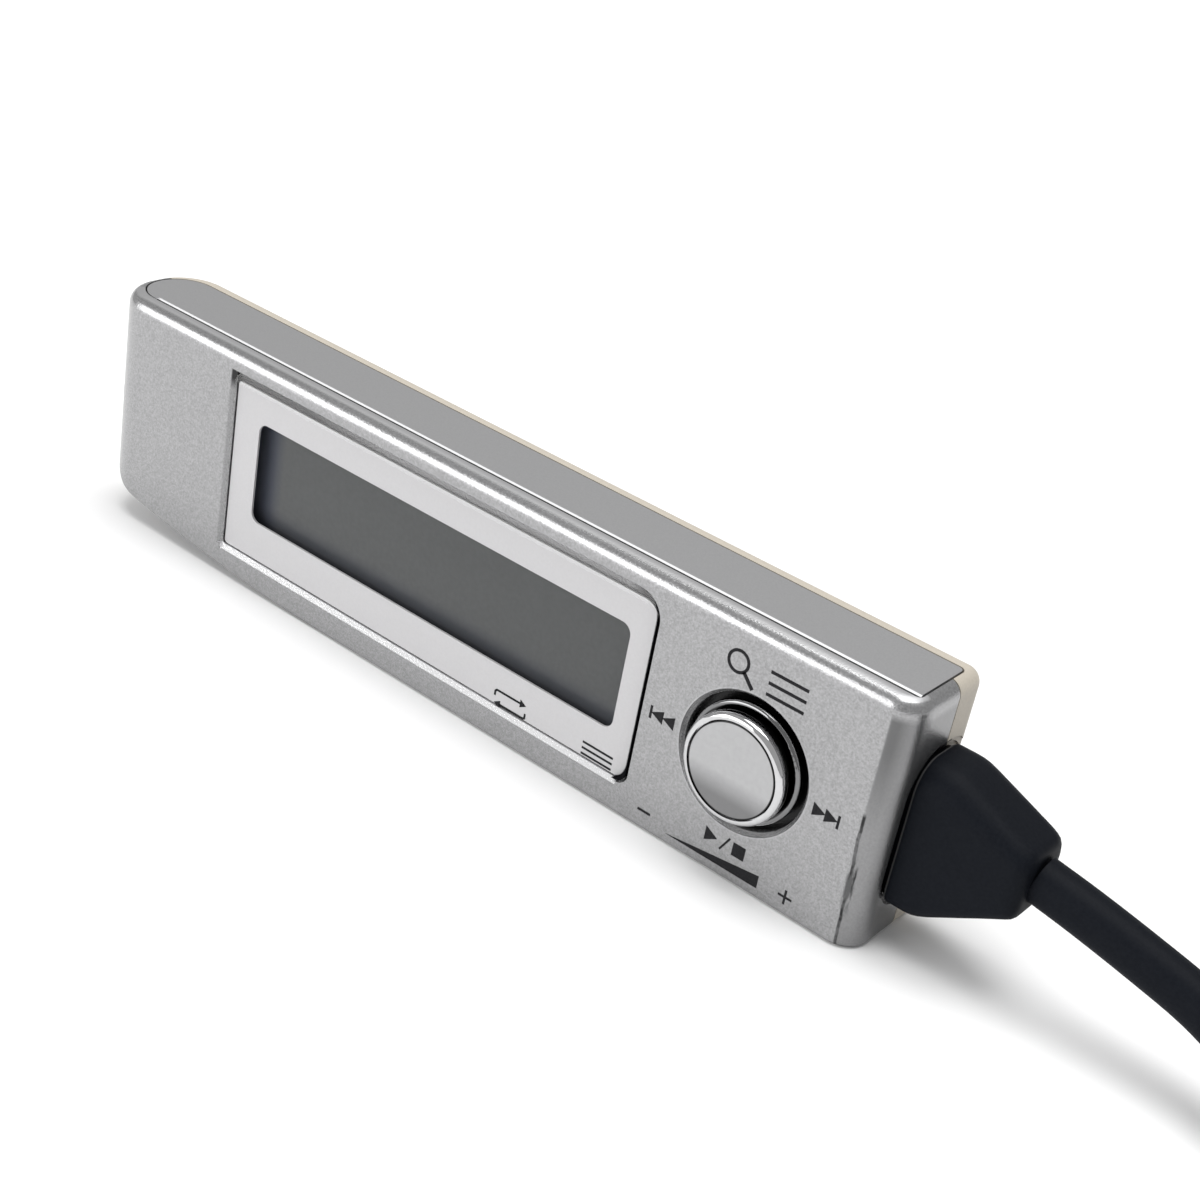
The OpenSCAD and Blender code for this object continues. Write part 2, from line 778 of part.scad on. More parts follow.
module stick_stem() {
    color([0.7, 0.7, 0.72]) {
        rod_d(stick_x, stick_z, -0.2, board_d0 - 0.7, stem_r);
        rod_d(stick_x, stick_z, pivot_d - gimbal_t / 2, pivot_d + gimbal_t / 2, hub_r);
        rod_z(stick_x, pivot_d, stick_z - gimbal_r + 0.1, stick_z + gimbal_r - 0.1, trunnion_r);
    }
}

module stick_knob() {
    color([0.85, 0.85, 0.87])
        stick_turned()
            difference() {
                union() {
                    round_rect(0, flange_r, -0.65, 0, [0, 0.15, 0.3, 0]);
                    translate([0, -0.3]) square([ring_r - 0.4, 0.9]);
                    round_rect(0, ring_r, 0.4, stick_proud, [0, 0.3, 0.45, 0]);
                }
                translate([0, stick_proud - cap_drop]) square([cap_r + seat, 1]);
                translate([0, -1]) square([stem_r + run_gap, 1.25]);
            }
}

module stick_cap() {
    hollow = 0.2;
    ball_r = (cap_r * cap_r + hollow * hollow) / (2 * hollow);
    color([0.75, 0.75, 0.77])
        stick_turned()
            difference() {
                translate([0, stick_proud - cap_drop + 0.02]) square([cap_r, cap_drop - 0.05]);
                translate([0, stick_proud - 0.03 - hollow + ball_r]) circle(ball_r, $fn = 256);
                translate([-2 * ball_r, 0]) square([2 * ball_r, 2 * ball_r]);
            }
}

// Keys on the standing side
module push_key(x) {
    block(x - key_l / 2, x + key_l / 2, key_d - key_w / 2, key_d + key_w / 2, key_face, flange_z + over);
    block(x - key_l / 2 - 0.5, x + key_l / 2 + 0.5, key_d - key_w / 2 - 0.4, key_d + key_w / 2 + 0.4,
        flange_z, flange_z + flange_t);
    block(x - 0.8, x + 0.8, plunger_d - 0.5, plunger_d + 0.5, flange_z, post_z);
}

module repeat_key() {
    color([0.3, 0.3, 0.32]) push_key(key_spots[0]);
}

module menu_key() {
    color([0.3, 0.3, 0.32]) push_key(key_spots[1]);
}

module volume_rocker() {
    color([0.3, 0.3, 0.32])
        difference() {
            union() {
                block(rocker_x - rocker_l / 2, rocker_x + rocker_l / 2, key_d - key_w / 2,
                    key_d + key_w / 2, key_face, flange_z + flange_t);
                rod_d(rocker_x, rocker_pin_z, key_d - key_w / 2, key_d + key_w / 2, rocker_pin_r + 0.5);
                for (x = rocker_spots) {
                    block(x - 0.8, x + 0.8, plunger_d - 0.5, plunger_d + 0.5, flange_z, post_z);
                }
            }
            rod_d(rocker_x, rocker_pin_z, 0, body_t, rocker_pin_r + run_gap);
        }
}

module volume_pin() {
    color([0.7, 0.7, 0.72])
        rod_d(rocker_x, rocker_pin_z, front_wall + seat, rocker_lug_d, rocker_pin_r);
}

// Headphone socket in the round end
module jack_housing() {
    color([0.13, 0.13, 0.14])
        difference() {
            union() {
                rod_x(jack_x0, jack_x0 + jack_nose + over, jack_d, jack_z, bush_r);
                block(jack_x0 + jack_nose, jack_x1, jack_d - jack_t / 2, jack_d + jack_t / 2,
                    jack_z - jack_h / 2, jack_z + jack_h / 2);
            }
            rod_x(jack_x0 - 1, jack_x0 + jack_bore_l, jack_d, jack_z, jack_bore_r);
        }
}

module jack_bush() {
    color([0.8, 0.8, 0.82])
        difference() {
            rod_x(left_x, left_x + bush_l, jack_d, jack_z, bush_r);
            rod_x(left_x - 1, left_x + bush_l + 1, jack_d, jack_z, jack_bore_r);
        }
}

module jack_contacts() {
    strip = 0.3;
    half = 0.5;
    d0 = jack_d + jack_t / 2 + 0.02;
    color([0.8, 0.7, 0.4])
        for (z = [jack_z - jack_h / 3, jack_z, jack_z + jack_h / 3]) {
            block(jack_x0 + jack_nose + 1.5, board_x0 + 0.8, d0, d0 + strip, z - half, z + half);
            block(board_x0 + 0.3, board_x0 + 0.8, board_d1 + 0.02, d0 + strip, z - half, z + half);
        }
}

// Screws from the back
module case_screw(p) {
    head_d = body_t - screw_head_t;
    difference() {
        union() {
            rod_d(p[0], p[1], head_d, body_t - seat, screw_head_r);
            rod_d(p[0], p[1], front_wall + 1.2, head_d + over, screw_r);
        }
        for (turn = [0, 90]) {
            translate([p[0], face_y + body_t, p[1]]) rotate([0, turn, 0])
                cube([2, 1, 0.45], center = true);
        }
    }
}

module case_screws() {
    color([0.6, 0.6, 0.62])
        for (p = screw_spots) {
            case_screw(p);
        }
}

// Spring clip on the back
module clip_lever() {
    x0 = clip_x - jaw_l;
    x1 = clip_x + press_l;
    outer_d = clip_inner_d + clip_t;
    knuckle_z = lug_z - lug_t / 2 - 0.1 - knuckle_t;
    color([0.82, 0.78, 0.7])
        difference() {
            union() {
                intersection() {
                    slab_z(0, body_h)
                        polygon([[x0, body_t + 0.15], [x0, outer_d - 1.4], [x0 + 1.4, outer_d],
                            [x1, outer_d], [x1, clip_inner_d], [x0 + 2.8, clip_inner_d],
                            [x0 + 1.8, body_t + 0.15]]);
                    slab_d(0, outer_d + 1)
                        round_rect(x0, x1, clip_z - clip_w / 2, clip_z + clip_w / 2,
                            [2.5, 3.5, 3.5, 2.5]);
                }
                for (side = [0, 1]) {
                    mirror_z(side) {
                        rod_z(clip_x, clip_axis_d, clip_z + knuckle_z, clip_z + knuckle_z + knuckle_t,
                            lug_r);
                        block(clip_x - lug_r, clip_x + lug_r, clip_axis_d, clip_inner_d + over,
                            clip_z + knuckle_z, clip_z + knuckle_z + knuckle_t);
                    }
                }
            }
            rod_z(clip_x, clip_axis_d, 0, body_h, clip_pin_r + run_gap);
        }
}

// The same shape again below the clip's middle
module mirror_z(side) {
    translate([0, 0, side * 2 * clip_z]) mirror([0, 0, side]) children();
}

module clip_pin() {
    color([0.7, 0.7, 0.72])
        rod_z(clip_x, clip_axis_d, clip_z - lug_z - lug_t / 2, clip_z + lug_z + lug_t / 2, clip_pin_r);
}

// Torsion spring round the clip's pin, with one leg on the shell and one under the finger end
function spring_point(t) = let (a = -90 - 360 * t)
    [clip_x + spring_r * cos(a), face_y + clip_axis_d + spring_r * sin(a),
        clip_z + (t - spring_turns / 2) * spring_pitch];
spring_leg = press_l - 4;
shell_leg_d = body_t + spring_wire / 2 + 0.1;
spring_path = concat(
    [[clip_x + spring_leg, face_y + shell_leg_d, clip_z - spring_turns / 2 * spring_pitch]],
    [for (i = [0 : 8 * spring_turns]) spring_point(i / 8)],
    [[clip_x + spring_leg, face_y + clip_axis_d + spring_r, clip_z + spring_turns / 2 * spring_pitch]]);

module clip_spring() {
    color([0.75, 0.75, 0.77]) tube(spring_path, spring_wire / 2, 6, [-1, 0, 0], [1, 0, 0]);
}

// Hold slider in the back, and its switch on the board
module hold_slider() {
    half_w = hold_w / 2;
    color([0.3, 0.3, 0.32]) {
        slab_d(hold_plate_d, body_t + 0.5)
            round_rect(hold_x - hold_l / 2, hold_x + hold_l / 2, clip_z - half_w, clip_z + half_w,
                [0.4, 0.4, 0.4, 0.4]);
        block(hold_x - hold_cover, hold_x + hold_cover, hold_plate_d, hold_plate_d + hold_plate_t,
            clip_z - half_w - 0.7, clip_z + half_w + 0.7);
        block(hold_x - 0.5, hold_x + 0.5, board_d1 + 0.5, hold_plate_d + over, clip_z - 0.4, clip_z + 0.4);
    }
}

module hold_switch() {
    color([0.75, 0.76, 0.78])
        difference() {
            block(hold_x - 2, hold_x + hold_travel + 2, board_d1 + 0.02, board_d1 + 1, clip_z - 1.4,
                clip_z + 1.4);
            block(hold_x - 0.7, hold_x + hold_travel + 0.7, board_d1 + 0.3, board_d1 + 2, clip_z - 0.6,
                clip_z + 0.6);
        }
}

// Cord: boot in the shells' slot, leads to the board, free stretch, hank and plug
module boot_slice(x, t, z, w, h, r) {
    for (sd = [-1, 1]) {
        for (sz = [-1, 1]) {
            rod_x(x, x + t, boot_d + sd * (w / 2 - r), z + sz * (h / 2 - r), r, $fn = 32);
        }
    }
}

module cord_boot() {
    base_x = right_x - boot_recess + 0.02;
    base_r = boot_w / 2 - boot_side;
    end_w = boot_w - 0.5;
    color([0.12, 0.13, 0.15]) {
        hull() {
            boot_slice(base_x, 2.9, boot_z, boot_w, boot_h, base_r);
            boot_slice(boot_x1 - 0.9, 0.2, boot_end_z, end_w, end_w - 0.2, 1.8);
            boot_slice(boot_x1 - 0.2, 0.2, boot_end_z, end_w - 0.9, end_w - 1.1, 1.5);
        }
        block(in_x1 - over, base_x + over, boot_d - neck_w / 2, boot_d + neck_w / 2, boot_z - neck_h / 2,
            boot_z + neck_h / 2);
        block(in_x1 - 1.5, in_x1 - seat, boot_d - neck_w / 2 - 0.5, in_d1 - 0.4,
            boot_z - neck_h / 2 - 0.7, boot_z + neck_h / 2 + 0.7);
    }
}

module cord_leads() {
    lead_r = 0.28;
    lead_x0 = max(board_x1 - 0.6, hold_x + hold_travel + 2.1);
    color([0.75, 0.3, 0.25])
        for (i = [-2.5 : 1 : 2.5]) {
            rod_x(lead_x0, in_x1 - 1.52, board_d1 + lead_r + 0.02, boot_z + i, lead_r);
        }
}

module cord() {
    color([0.12, 0.13, 0.15]) tube(cord_points, cord_r, 8, [1, 0, 0], [1, 0, 0]);
}

// Half a turn of the hank at x, on its right (1) or left (-1), that rises between two shares of itself
function fold(x, side, y0, y1, z0, z1, rise_from = 0, rise_to = 1) = [for (i = [0 : fold_rings])
    let (share = i / fold_rings, a = 180 * share,
        u = max(0, min(1, (share - rise_from) / (rise_to - rise_from))))
    [x + side * abs(y1 - y0) / 2 * sin(a), hank_y + (y0 + y1) / 2 + (y0 - y1) / 2 * cos(a),
        z0 + (z1 - z0) * u * u * (3 - 2 * u)]];
hank_path = concat([[hank_x - cord_d, hank_y - hank_outer, hank_low]],
    fold(hank_x1, 1, -hank_outer, hank_outer, hank_low, hank_low),
    fold(hank_x, -1, hank_outer, -hank_r, hank_low, hank_low),
    fold(hank_x1, 1, -hank_r, hank_r, hank_low, hank_low),
    fold(hank_x + hank_stagger, -1, hank_r, -hank_r, hank_low, hank_high, 0.12, 0.88),
    fold(hank_x1, 1, -hank_r, hank_r, hank_high, hank_high),
    fold(hank_x, -1, hank_r, -hank_outer, hank_high, hank_high),
    fold(hank_x1, 1, -hank_outer, hank_outer, hank_high, hank_high),
    [for (s = [0, 0.25, 0.5, 0.75]) [hank_x + hank_rise * (1 - s), hank_y + hank_outer,
        hank_high + hank_pitch * s * s * (3 - 2 * s)]],
    fold(hank_x, -1, hank_outer, plug_y - hank_y, hank_top, hank_top),
    [[lead_x, plug_y, hank_top]]);

// The hank's least gap to itself, on points at most 2 mm apart, between stretches 8 points or more apart
hank_dots = [for (i = [1 : len(hank_path) - 1])
    let (a = hank_path[i - 1], b = hank_path[i], n = ceil(norm(b - a) / 2))
        for (k = [0 : n - 1]) a + (b - a) * k / n];
hank_least = min([for (i = [0 : len(hank_dots) - 9]) for (j = [i + 8 : len(hank_dots) - 1])
    norm(hank_dots[i] - hank_dots[j])]) - cord_d;
echo(hank_least_gap = hank_least);

module cord_coil() {
    color([0.12, 0.13, 0.15]) tube(hank_path, cord_r, 6, [1, 0, 0], [1, 0, 0]);
}

// The band round all the runs, under the plug
module coil_tie() {
    side = hank_outer + cord_r + 0.1;
    low = hank_low - cord_r - 0.1;
    high = hank_high + cord_r + 0.1;
    color([0.2, 0.2, 0.22])
        translate([tie_x - tie_w / 2, hank_y, 0]) rotate([90, 0, 90]) linear_extrude(tie_w)
            difference() {
                round_rect(-side - tie_t, side + tie_t, low - tie_t, high + tie_t,
                    [1.6, 1.6, 1.6, 1.6]);
                round_rect(-side, side, low, high, [1.2, 1.2, 1.2, 1.2]);
            }
}

module plug_lead() {
    color([0.12, 0.13, 0.15]) tube(lead_points, cord_r, 8, [1, 0, 0], [1, 0, 0]);
}

module plug_body() {
    color([0.12, 0.13, 0.15]) {
        translate([plug_x, plug_y, plug_z]) rotate([0, 90, 0])
            cylinder(h = relief_l + over, r1 = cord_r + 0.2, r2 = plug_h / 2 - 0.2);
        translate([plug_x + relief_l, plug_y, plug_z]) rotate([90, 0, 90]) linear_extrude(plug_l)
            round_rect(-plug_w / 2, plug_w / 2, -plug_h / 2, plug_h / 2, [1.8, 1.8, 1.8, 1.8]);
    }
}

module pin_turned() {
    translate([pin_x, plug_y, plug_z]) rotate([0, 90, 0]) rotate_extrude() children();
}

module plug_pin() {
    color([0.85, 0.78, 0.5])
        pin_turned()
            difference() {
                polygon([[0, 0], [pin_r, 0], [pin_r, pin_l], [1.25, pin_l + 0.7], [1.25, pin_l + 1.1],
                    [1.65, pin_l + 1.7], [0.6, pin_l + 2.8], [0, pin_l + 3]]);
                for (y = ring_spots) {
                    translate([pin_r - ring_depth, y]) square([1, ring_w]);
                }
            }
}

module plug_rings() {
    color([0.1, 0.1, 0.11])
        for (y = ring_spots) {
            pin_turned()
                translate([pin_r - ring_depth + 0.01, y + 0.01]) square([ring_depth - 0.02, ring_w - 0.02]);
        }
}

front_shell();
rear_shell();
top_trim();
window_lens();
window_mask();
lcd_panel();
light_guide();
lcd_connector();
circuit_board();
control_chips();
key_switches();
stick_base();
stick_contact();
stick_gimbal();
stick_stem();
stick_knob();
stick_cap();
repeat_key();
repeat_plunger();
menu_key();
menu_plunger();
volume_rocker();
volume_plungers();
volume_pin();
jack_housing();
jack_bush();
jack_contacts();
case_screws();
clip_lever();
clip_pin();
clip_spring();
hold_slider();
hold_switch();
cord_boot();
cord_leads();
cord();
cord_coil();
coil_tie();
plug_lead();
plug_body();
plug_pin();
plug_rings();
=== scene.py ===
import math

import bmesh
import bpy
from mathutils import Euler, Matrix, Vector


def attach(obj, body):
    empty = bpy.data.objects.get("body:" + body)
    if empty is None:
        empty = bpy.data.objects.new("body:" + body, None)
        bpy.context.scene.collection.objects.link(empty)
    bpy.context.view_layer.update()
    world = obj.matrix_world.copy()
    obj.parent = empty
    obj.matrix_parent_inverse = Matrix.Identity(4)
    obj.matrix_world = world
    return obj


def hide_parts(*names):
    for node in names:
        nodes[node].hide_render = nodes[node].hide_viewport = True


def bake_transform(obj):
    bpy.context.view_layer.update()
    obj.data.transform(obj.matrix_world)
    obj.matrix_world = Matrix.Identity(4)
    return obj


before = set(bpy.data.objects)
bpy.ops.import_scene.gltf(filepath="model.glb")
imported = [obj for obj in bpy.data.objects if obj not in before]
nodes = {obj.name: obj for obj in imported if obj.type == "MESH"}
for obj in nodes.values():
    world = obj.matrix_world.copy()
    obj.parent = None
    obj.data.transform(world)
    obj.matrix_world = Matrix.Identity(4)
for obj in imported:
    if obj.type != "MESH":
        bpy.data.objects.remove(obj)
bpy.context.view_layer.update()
scene = bpy.context.scene
scene.view_settings.view_transform = "Standard"

# Lengths are in mm, in the part's frame, unless a comment says metres
MM = 0.001
FACE_Y = -6.25  # the front face's plane; a depth is measured behind it
STICK_X, STICK_Z = 29.5, 9.9
BOOT_Y, BOOT_Z = -0.45, 9.3  # the middle of the boot's base
BOOT_WIDTH, BOOT_HEIGHT, BOOT_CORNER = 6.5, 12.1, 2.7
WINDOW_X, WINDOW_Z = -2.7, 10.8  # the middle of the clear plate
WINDOW_LENGTH, WINDOW_HEIGHT, WINDOW_CORNER = 45.0, 16.1, 1.9


# ---- Camera: the photograph's station, fitted to the window, stick and case edges ----

CAMERA_AT = (86.79, -113.14, 84.70)
CAMERA_TURN = (61.594, -9.761, 39.196)  # degrees

camera_data = bpy.data.cameras.new("photo_camera")
camera_data.lens = 59.68
camera_data.sensor_width = 36.0
camera_data.sensor_fit = "HORIZONTAL"
camera_data.clip_start, camera_data.clip_end = 0.005, 20.0  # metres
camera = bpy.data.objects.new("photo_camera", camera_data)
camera.location = Vector(CAMERA_AT) * MM
camera.rotation_euler = Euler([math.radians(a) for a in CAMERA_TURN])
scene.collection.objects.link(camera)
scene.camera = camera


# ---- Material helpers ----

GRAIN_HEIGHT = 0.04  # the depth of a finish's grain
SOFT = 0.04  # half the width over which a painted edge fades
NOISE_RANGE = (0.3, 0.7)  # where nearly all of the noise lies
COOL = 1.012  # the blue in a grey, over its red and green


def shader_of(mat):
    """The material's Principled node."""
    return mat.node_tree.nodes["Principled BSDF"]


def new_material(name, color, roughness, metallic=0.0, specular=0.5):
    """A Principled material with plain values, for others to add nodes to."""
    mat = bpy.data.materials.new(name)
    mat.use_nodes = True
    shader = shader_of(mat)
    shader.inputs["Base Color"].default_value = (*color, 1.0)
    shader.inputs["Roughness"].default_value = roughness
    shader.inputs["Metallic"].default_value = metallic
    shader.inputs["Specular IOR Level"].default_value = specular
    return mat


def add_node(mat, kind, **inputs):
    """A new node, with plain values in the inputs that are named."""
    node = mat.node_tree.nodes.new(kind)
    for key, value in inputs.items():
        node.inputs[key].default_value = value
    return node


def link(mat, out_socket, in_socket):
    """Join two sockets."""
    mat.node_tree.links.new(out_socket, in_socket)


def object_point(mat):
    """The surface point in the piece's own frame, in metres: the part's frame at rest."""
    return add_node(mat, "ShaderNodeTexCoord").outputs["Object"]


def axis(mat, name):
    """One coordinate of the surface point, in metres."""
    split = mat.node_tree.nodes.new("ShaderNodeSeparateXYZ")
    link(mat, object_point(mat), split.inputs["Vector"])
    return split.outputs[name]


def noise(mat, scale, detail=2.0, roughness=0.5, squeeze=(1.0, 1.0, 1.0)):
    """Noise from 0 to 1; scale is in cells per metre, times squeeze along each axis."""
    node = add_node(mat, "ShaderNodeTexNoise", Scale=scale, Detail=detail, Roughness=roughness)
    place = add_node(mat, "ShaderNodeMapping", Scale=squeeze)
    link(mat, object_point(mat), place.inputs["Vector"])
    link(mat, place.outputs["Vector"], node.inputs["Vector"])
    return node.outputs["Fac"]


def ramp(mat, value, low, high, to_low=0.0, to_high=1.0):
    """The value carried from one range to another, and held at its ends."""
    node = add_node(mat, "ShaderNodeMapRange")
    keys = ("From Min", "From Max", "To Min", "To Max")
    for key, number in zip(keys, (low, high, to_low, to_high)):
        node.inputs[key].default_value = number
    link(mat, value, node.inputs["Value"])
    return node.outputs["Result"]


def math_node(mat, operation, a, b):
    """One operation on two values, its result held between 0 and 1."""
    node = mat.node_tree.nodes.new("ShaderNodeMath")
    node.operation = operation
    node.use_clamp = True
    for socket, value in zip(node.inputs, (a, b)):
        if isinstance(value, float):
            socket.default_value = value
        else:
            link(mat, value, socket)
    return node.outputs["Value"]


def fade(mat, name, start, end, to_start=0.0, to_end=1.0):
    """From one value to another between two places (mm) along an axis."""
    return ramp(mat, axis(mat, name), start * MM, end * MM, to_start, to_end)


def beyond(mat, value, limit, soft=SOFT):
    """1 where a length in metres is over the limit (mm), 0 below it."""
    return ramp(mat, value, (limit - soft) * MM, (limit + soft) * MM)


def within(mat, value, limit, soft=SOFT):
    """1 where a length in metres is under the limit (mm), 0 above it."""
    return ramp(mat, value, (limit + soft) * MM, (limit - soft) * MM)


def between(mat, value, low, high, soft=SOFT):
    """1 where a length in metres lies between two limits (mm), 0 outside."""
    return math_node(
        mat, "MULTIPLY", beyond(mat, value, low, soft), within(mat, value, high, soft)
    )


def band(mat, name, low, high, soft=SOFT):
    """1 between two places (mm) along an axis, 0 outside."""
    return between(mat, axis(mat, name), low, high, soft)


def all_of(mat, *masks):
    """The product of the masks."""
    whole = masks[0]
    for mask in masks[1:]:
        whole = math_node(mat, "MULTIPLY", whole, mask)
    return whole


def off_box(mat, axes, center, half, radius=0.0):
    """How far, in metres, the point lies outside a box with round corners (mm);
    axes has a 1 for each axis that counts."""
    value = object_point(mat)
    steps = (
        ("SUBTRACT", center),
        ("ABSOLUTE", (0.0, 0.0, 0.0)),
        ("SUBTRACT", [h - radius for h in half]),
        ("MAXIMUM", (0.0, 0.0, 0.0)),
    )
    for operation, other in steps:
        node = mat.node_tree.nodes.new("ShaderNodeVectorMath")
        node.operation = operation
        link(mat, value, node.inputs[0])
        node.inputs[1].default_value = [v * MM for v in other]
        value = node.outputs["Vector"]
    for operation in ("MULTIPLY", "LENGTH"):
        node = mat.node_tree.nodes.new("ShaderNodeVectorMath")
        node.operation = operation
        link(mat, value, node.inputs[0])
        node.inputs[1].default_value = axes
        value = node.outputs["Value" if operation == "LENGTH" else "Vector"]
    return math_node(mat, "SUBTRACT", value, radius * MM)


def off_boot(mat):
    """How far, in metres, the point lies outside the outline of the boot's base."""
    half = (0.0, BOOT_WIDTH / 2, BOOT_HEIGHT / 2)
    return off_box(mat, (0, 1, 1), (0.0, BOOT_Y, BOOT_Z), half, BOOT_CORNER)


def off_stick(mat):
    """How far, in metres, the point lies from the stick's middle line at rest."""
    return off_box(mat, (1, 0, 1), (STICK_X, 0.0, STICK_Z), (0.0, 0.0, 0.0))


def grey(v):
    """A nearly neutral colour."""
    return (v, v, v * COOL)


def color_mix(mat, factor, over):
    """A mix that lays a colour over its A input by factor."""
    mix = mat.node_tree.nodes.new("ShaderNodeMix")
    mix.data_type = "RGBA"
    link(mat, factor, mix.inputs["Factor"])
    mix.inputs["B"].default_value = (*over, 1.0)
    return mix


def two_tone(mat, factor, dark, light):
    """Base colour between two colours by factor."""
    mix = color_mix(mat, factor, light)
    mix.inputs["A"].default_value = (*dark, 1.0)
    link(mat, mix.outputs["Result"], shader_of(mat).inputs["Base Color"])


def paint(mat, color, *masks):
    """Lay a colour over the base colour, by the product of the masks."""
    mix = color_mix(mat, all_of(mat, *masks), color)
    base = shader_of(mat).inputs["Base Color"]
    link(mat, base.links[0].from_socket, mix.inputs["A"])
    link(mat, mix.outputs["Result"], base)


def bump(mat, height, strength):
    """A fine relief from a height."""
    node = add_node(mat, "ShaderNodeBump", Strength=strength, Distance=GRAIN_HEIGHT * MM)
    link(mat, height, node.inputs["Height"])
    link(mat, node.outputs["Normal"], shader_of(mat).inputs["Normal"])


def grained(name, dark, light, roughness, metallic, scale, grain, specular=0.5):
    """A finish with a fine grain in its colour and surface; scale is in cells per metre."""
    mat = new_material(name, light, roughness, metallic, specular)
    value = noise(mat, scale)
    two_tone(mat, ramp(mat, value, *NOISE_RANGE), dark, light)
    bump(mat, value, grain)
    return mat


# ---- Finishes with tones, painted light and painted shade laid on by position ----

SILVER_ROUGH, STRIP_ROUGH = 0.27, 0.5
EDGE_X = 39.4  # where the front upright edge at the cord end starts to round
END_X = 40.6  # where it has nearly turned into the end wall


def boot_seat(mat):
    """1 on the walls of the seat that the boot's base goes into."""
    return all_of(
        mat,
        band(mat, "X", 36, 41.46, 0.01),
        band(mat, "Y", BOOT_Y - 3.55, 0.8),
        band(mat, "Z", 2.8, 15.8),
    )


def paint_pocket_shade(mat):
    """Painted shade on the walls of the window's pocket, darkest at the right, and a painted
    highlight on the cut below it.
    """
    pocket = all_of(
        mat, band(mat, "X", -26.0, 20.6), band(mat, "Y", FACE_Y + 0.05, FACE_Y + 0.9)
    )
    walls = band(mat, "Z", 2.75, 19.3)
    off_left_wall = fade(mat, "X", -25.4, -24.4, 0.3, 1.0)
    # Painted shade on the pocket's walls, lighter on the left wall
    paint(mat, grey(0.15), pocket, walls, off_left_wall)
    upper_wall = band(mat, "Z", 17.6, 19.3, 0.5)
    to_left = fade(mat, "X", -17.0, -8.0, 0.95, 0.0)
    # Painted shade on the upper wall, darkest towards the left
    paint(mat, grey(0.03), pocket, upper_wall, to_left)
    right_wall = band(mat, "X", 17.5, 20.6, 0.8)
    # Painted shade on the right wall
    paint(mat, grey(0.008), pocket, walls, right_wall)
    lower_cut_highlight = band(mat, "Z", 2.0, 2.74)
    # Painted highlight on the cut below the window
    paint(mat, grey(0.95), pocket, lower_cut_highlight)


def paint_dish_highlight_and_shade(mat):
    """A painted highlight on the bevel round the stick's dish, and painted shade inside the dish.
    """
    bevel = between(mat, off_stick(mat), 5.3, 5.75)
    # Painted highlight on the dish's bevel
    paint(mat, grey(0.75), bevel, band(mat, "Y", FACE_Y + 0.03, FACE_Y + 1))
    dish = within(mat, off_stick(mat), 5.9)
    # Painted shade inside the dish
    paint(mat, grey(0.02), dish, fade(mat, "Y", FACE_Y + 0.45, FACE_Y + 1))


def paint_cord_end_shade(mat, upright_x):
    """Painted shade: the upright corner darker than the face, with a darker streak, dark tones
    round the boot, and the dark of its seat.
    """
    below_bevel = within(mat, axis(mat, "Z"), 19.2, 0.3)
    corner = all_of(mat, beyond(mat, upright_x, EDGE_X - 0.075, 0.075), below_bevel)
    # Painted shade on the upright corner at the cord end
    paint(mat, grey(0.20), corner, fade(mat, "Z", 10.0, 16.0, 0.6, 0.75))
    shade_streak = band(mat, "X", EDGE_X, END_X, 0.4)
    # Painted shade in a streak along the rounding edge
    paint(mat, grey(0.10), corner, shade_streak, fade(mat, "Z", 10.0, 16.5, 0.0, 0.7))
    end_wall = band(mat, "X", END_X, 42, 0.3)
    # Painted shade round the boot's base, wide and soft, then a dark core
    paint(mat, grey(0.12), end_wall, within(mat, off_boot(mat), 1.2, 0.9))
    paint(mat, grey(0.01), end_wall, within(mat, off_boot(mat), 0.35, 0.1))
    # Painted shade in the boot's seat
    paint(mat, grey(0.005), boot_seat(mat))


def paint_worn_edge(mat, upright_x):
    """A broken dark line down the upright edge, with a wider worn spot in its lower half."""
    on_face = within(mat, axis(mat, "Y"), FACE_Y + 0.3)
    wander = ramp(mat, noise(mat, 500.0, 3.0), *NOISE_RANGE, 0.0, 0.14 * MM)
    ragged_x = math_node(mat, "ADD", upright_x, wander)
    breaks = ramp(mat, noise(mat, 900.0, 2.0), 0.34, 0.50, 0.65, 1.0)
    worn_line = between(mat, ragged_x, EDGE_X - 0.12, EDGE_X + 0.11)
    below_top = fade(mat, "Z", 11.4, 11.0)
    paint(mat, grey(0.03), worn_line, on_face, below_top, breaks)
    chips = ramp(mat, noise(mat, 2600.0, 4.0, 0.6, (1.0, 1.0, 0.25)), 0.43, 0.53)
    spot = between(mat, upright_x, EDGE_X - 0.30, EDGE_X + 0.32, 0.12)
    paint(mat, grey(0.10), spot, band(mat, "Z", 3.4, 7.0, 1.0), on_face, chips)
    spot_rim = between(mat, ragged_x, EDGE_X + 0.26, EDGE_X + 0.38)
    paint(mat, grey(0.03), spot_rim, band(mat, "Z", 4.5, 6.8, 0.4), on_face, breaks)


